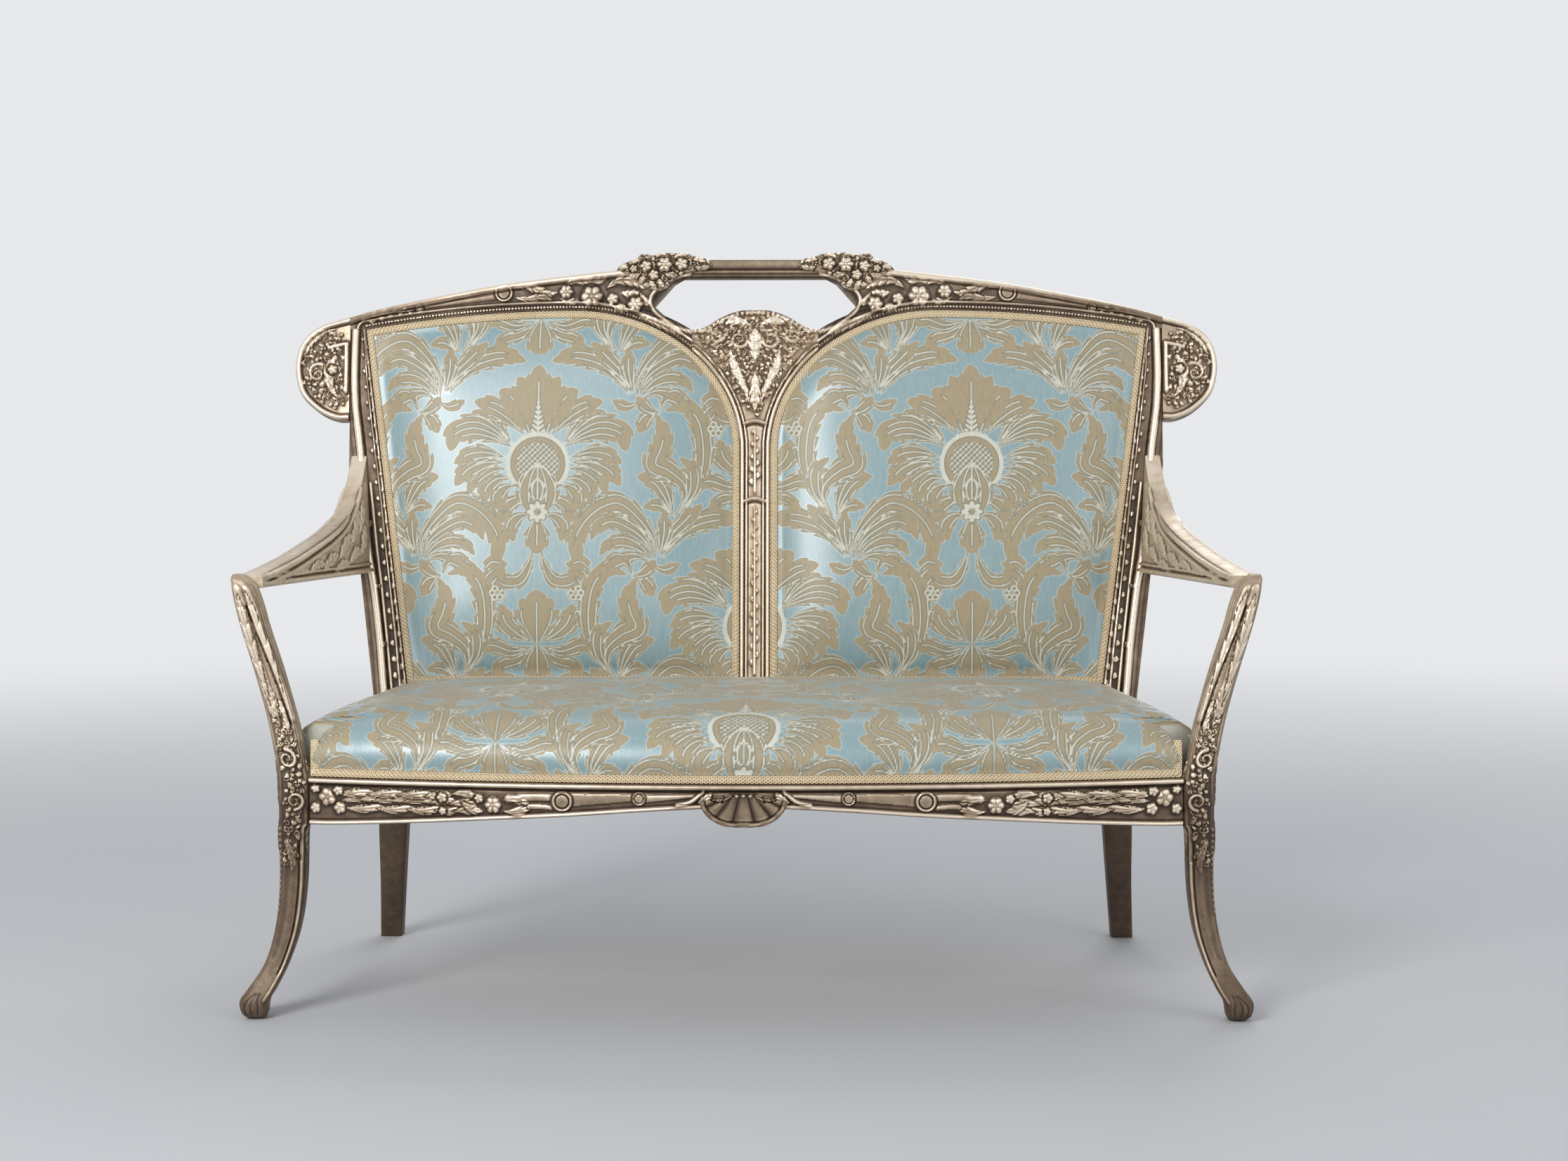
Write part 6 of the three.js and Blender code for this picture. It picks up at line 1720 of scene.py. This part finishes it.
HAIR_ROWS, HAIR_INSET, HAIR_OUT, HAIR_REAR, HAIR_CROWN = 36, 0.003, -0.0085, -0.0138, 0.022
across, up = panel_patch(HAIR_INSET, HAIR_ROWS)
front = on_back(across, up, HAIR_OUT + HAIR_CROWN * crown(HAIR_ROWS, 2 * PANEL_LEVEL))
rear = on_back(across, up, HAIR_REAR)
for piece in pair("back_stuffing", [board(front, rear, {})], hessian):
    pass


WEB_WIDE, WEB_THICK, WEB_LOW, WEB_REAR, WEB_OUT = 0.05, 0.0009, 0.3463, 0.521, -0.0153


def strap(ends, over, lift):
    """Sheets of a webbing strap between two ends. It passes over and under the straps it meets.

    over lists the shares of its length where it meets them, and lift is the way up, as a vector."""
    start, finish = np.array(ends, float)
    way = (finish - start) / np.linalg.norm(finish - start)
    side = np.cross(way, lift) * WEB_WIDE / 2
    t = np.linspace(0, 1, 90)
    wave = sum((-1) ** k * np.exp(-(((t - place) / 0.03) ** 2)) for k, place in enumerate(over))
    line = start + (finish - start) * t[:, None] + np.array(lift) * (wave * WEB_THICK * 0.6)[:, None]
    top = line[:, None] + side * np.linspace(-1, 1, 9)[:, None] + np.array(lift) * WEB_THICK / 2
    return board(top, top - np.array(lift) * WEB_THICK, {})


web_x, web_y = np.linspace(-0.506, 0.506, 8), np.linspace(0.096, 0.447, 4)
straps = []
for k, x in enumerate(web_x):
    near = rail_face(x) + RAIL_THICK - 0.012
    meets = (web_y - near) / (WEB_REAR - near)
    ends = [(x, front_of_legs + near, WEB_LOW), (x, front_of_legs + WEB_REAR, WEB_LOW)]
    straps.append(strap(ends, meets if k % 2 else np.append(meets[:1] - 1, meets), (0, 0, 1.0)))
for k, y in enumerate(web_y):
    reach = seat_edge(PAST_NOTCH) - 0.012 - (y - PAST_NOTCH) * 0.135
    meets = (web_x + reach) / (2 * reach)
    ends = [(-reach, front_of_legs + y, WEB_LOW), (reach, front_of_legs + y, WEB_LOW)]
    straps.append(strap(ends, meets if k % 2 else np.append(-1.0, meets), (0, 0, 1.0)))
skin("seat_webbing", straps, jute)

straps = []
for k, (share, top, inner) in enumerate(((0.22, 0.56, 0.031), (0.5, 0.618, 0.031), (0.78, 0.618, 0.062))):
    x = SPLAT_HALF + (STILE_HEAD - SPLAT_HALF) * share
    ends = on_back(x, np.array([RAIL_RISE + 0.002, top]), WEB_OUT)
    straps.append(strap(ends, [0.3, 0.52, 0.76][k % 2 :], BACK_OUT))
    up = RAIL_RISE + (CORNER_RISE - RAIL_RISE) * share
    ends = on_back(np.array([inner, stile_inner(up) - 0.004]), up, WEB_OUT)
    straps.append(strap(ends, [0.22, 0.5, 0.78][(k + 1) % 2 :], BACK_OUT))
pair("back_webbing", straps, jute)

STUFFING_FOOT, STUFFING_WIDE, STUFFING_DEEP = 0.3478, 150, 80
x, y, z = np.moveaxis(seat_grid(STUFFING_WIDE, STUFFING_DEEP)[0], -1, 0)
middle_y = front_of_legs + 0.22
x = 0.994 * x - 0.003 * np.sign(x) * (np.abs(x) > 0.55)
z = STUFFING_FOOT + 0.0001 + np.maximum((z - SEAT_FOOT) * 0.965 - 0.002, 0.0002)
top = stacked(x, middle_y + (y - middle_y) * 0.985, z)
kept = np.round(np.linspace(0, STUFFING_DEEP - 1, 24)).astype(int)
under = top[:, kept] * (1, 1, 0) + (0, 0, STUFFING_FOOT)
skin("seat_stuffing", [board(top, under, {})], hessian)


# The frame's inner timber, left bare: the rear rail, the cross rail, the blocks glued in the corners,
# and the dowels, with steel screws through the blocks. The side and lower back rails are silvered.
def beech_group():
    """Colour, roughness and height of planed beech with fine flecks along the grain."""
    group, _, place = node_group("bare_beech")
    rings = noise(group, place, 30, 4, (0.12, 1, 1))
    flecks = noise(group, place, 420, 2, (0.08, 1, 1))
    level = maths(group, "MULTIPLY_ADD", flecks, 0.35, maths(group, "MULTIPLY", rings, 0.75))
    browns = [(0.3, (0.16, 0.088, 0.042)), (0.52, (0.34, 0.205, 0.11)), (0.75, (0.5, 0.33, 0.19))]
    rough = maths(group, "MULTIPLY_ADD", flecks, 0.2, 0.55)
    return with_outputs(group, Color=ramp(group, level, browns), Roughness=rough, Height=flecks)


def steel_group():
    """Colour and roughness of plated steel with fine turning marks."""
    group, _, place = node_group("screw_steel")
    marks = noise(group, place, 900, 3)
    dull = noise(group, place, 120, 3)
    colour = ramp(group, dull, [(0.3, (0.3, 0.29, 0.27)), (0.7, (0.55, 0.55, 0.55))])
    rough = maths(group, "MULTIPLY_ADD", dull, 0.3, 0.25)
    return with_outputs(group, Color=colour, Roughness=rough, Height=marks)


beech = grouped_material("bare_beech", beech_group(), {}, {}, 0.3, 0.0004)
screw_steel = grouped_material("screw_steel", steel_group(), {}, {}, 0.2, 0.0002, Metallic=1.0)
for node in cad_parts:
    if "screw" in node:
        dress(node, screw_steel)
    elif "block" in node or "dowel" in node or node in ("rear_seat_rail", "seat_cross_rail"):
        dress(node, beech)
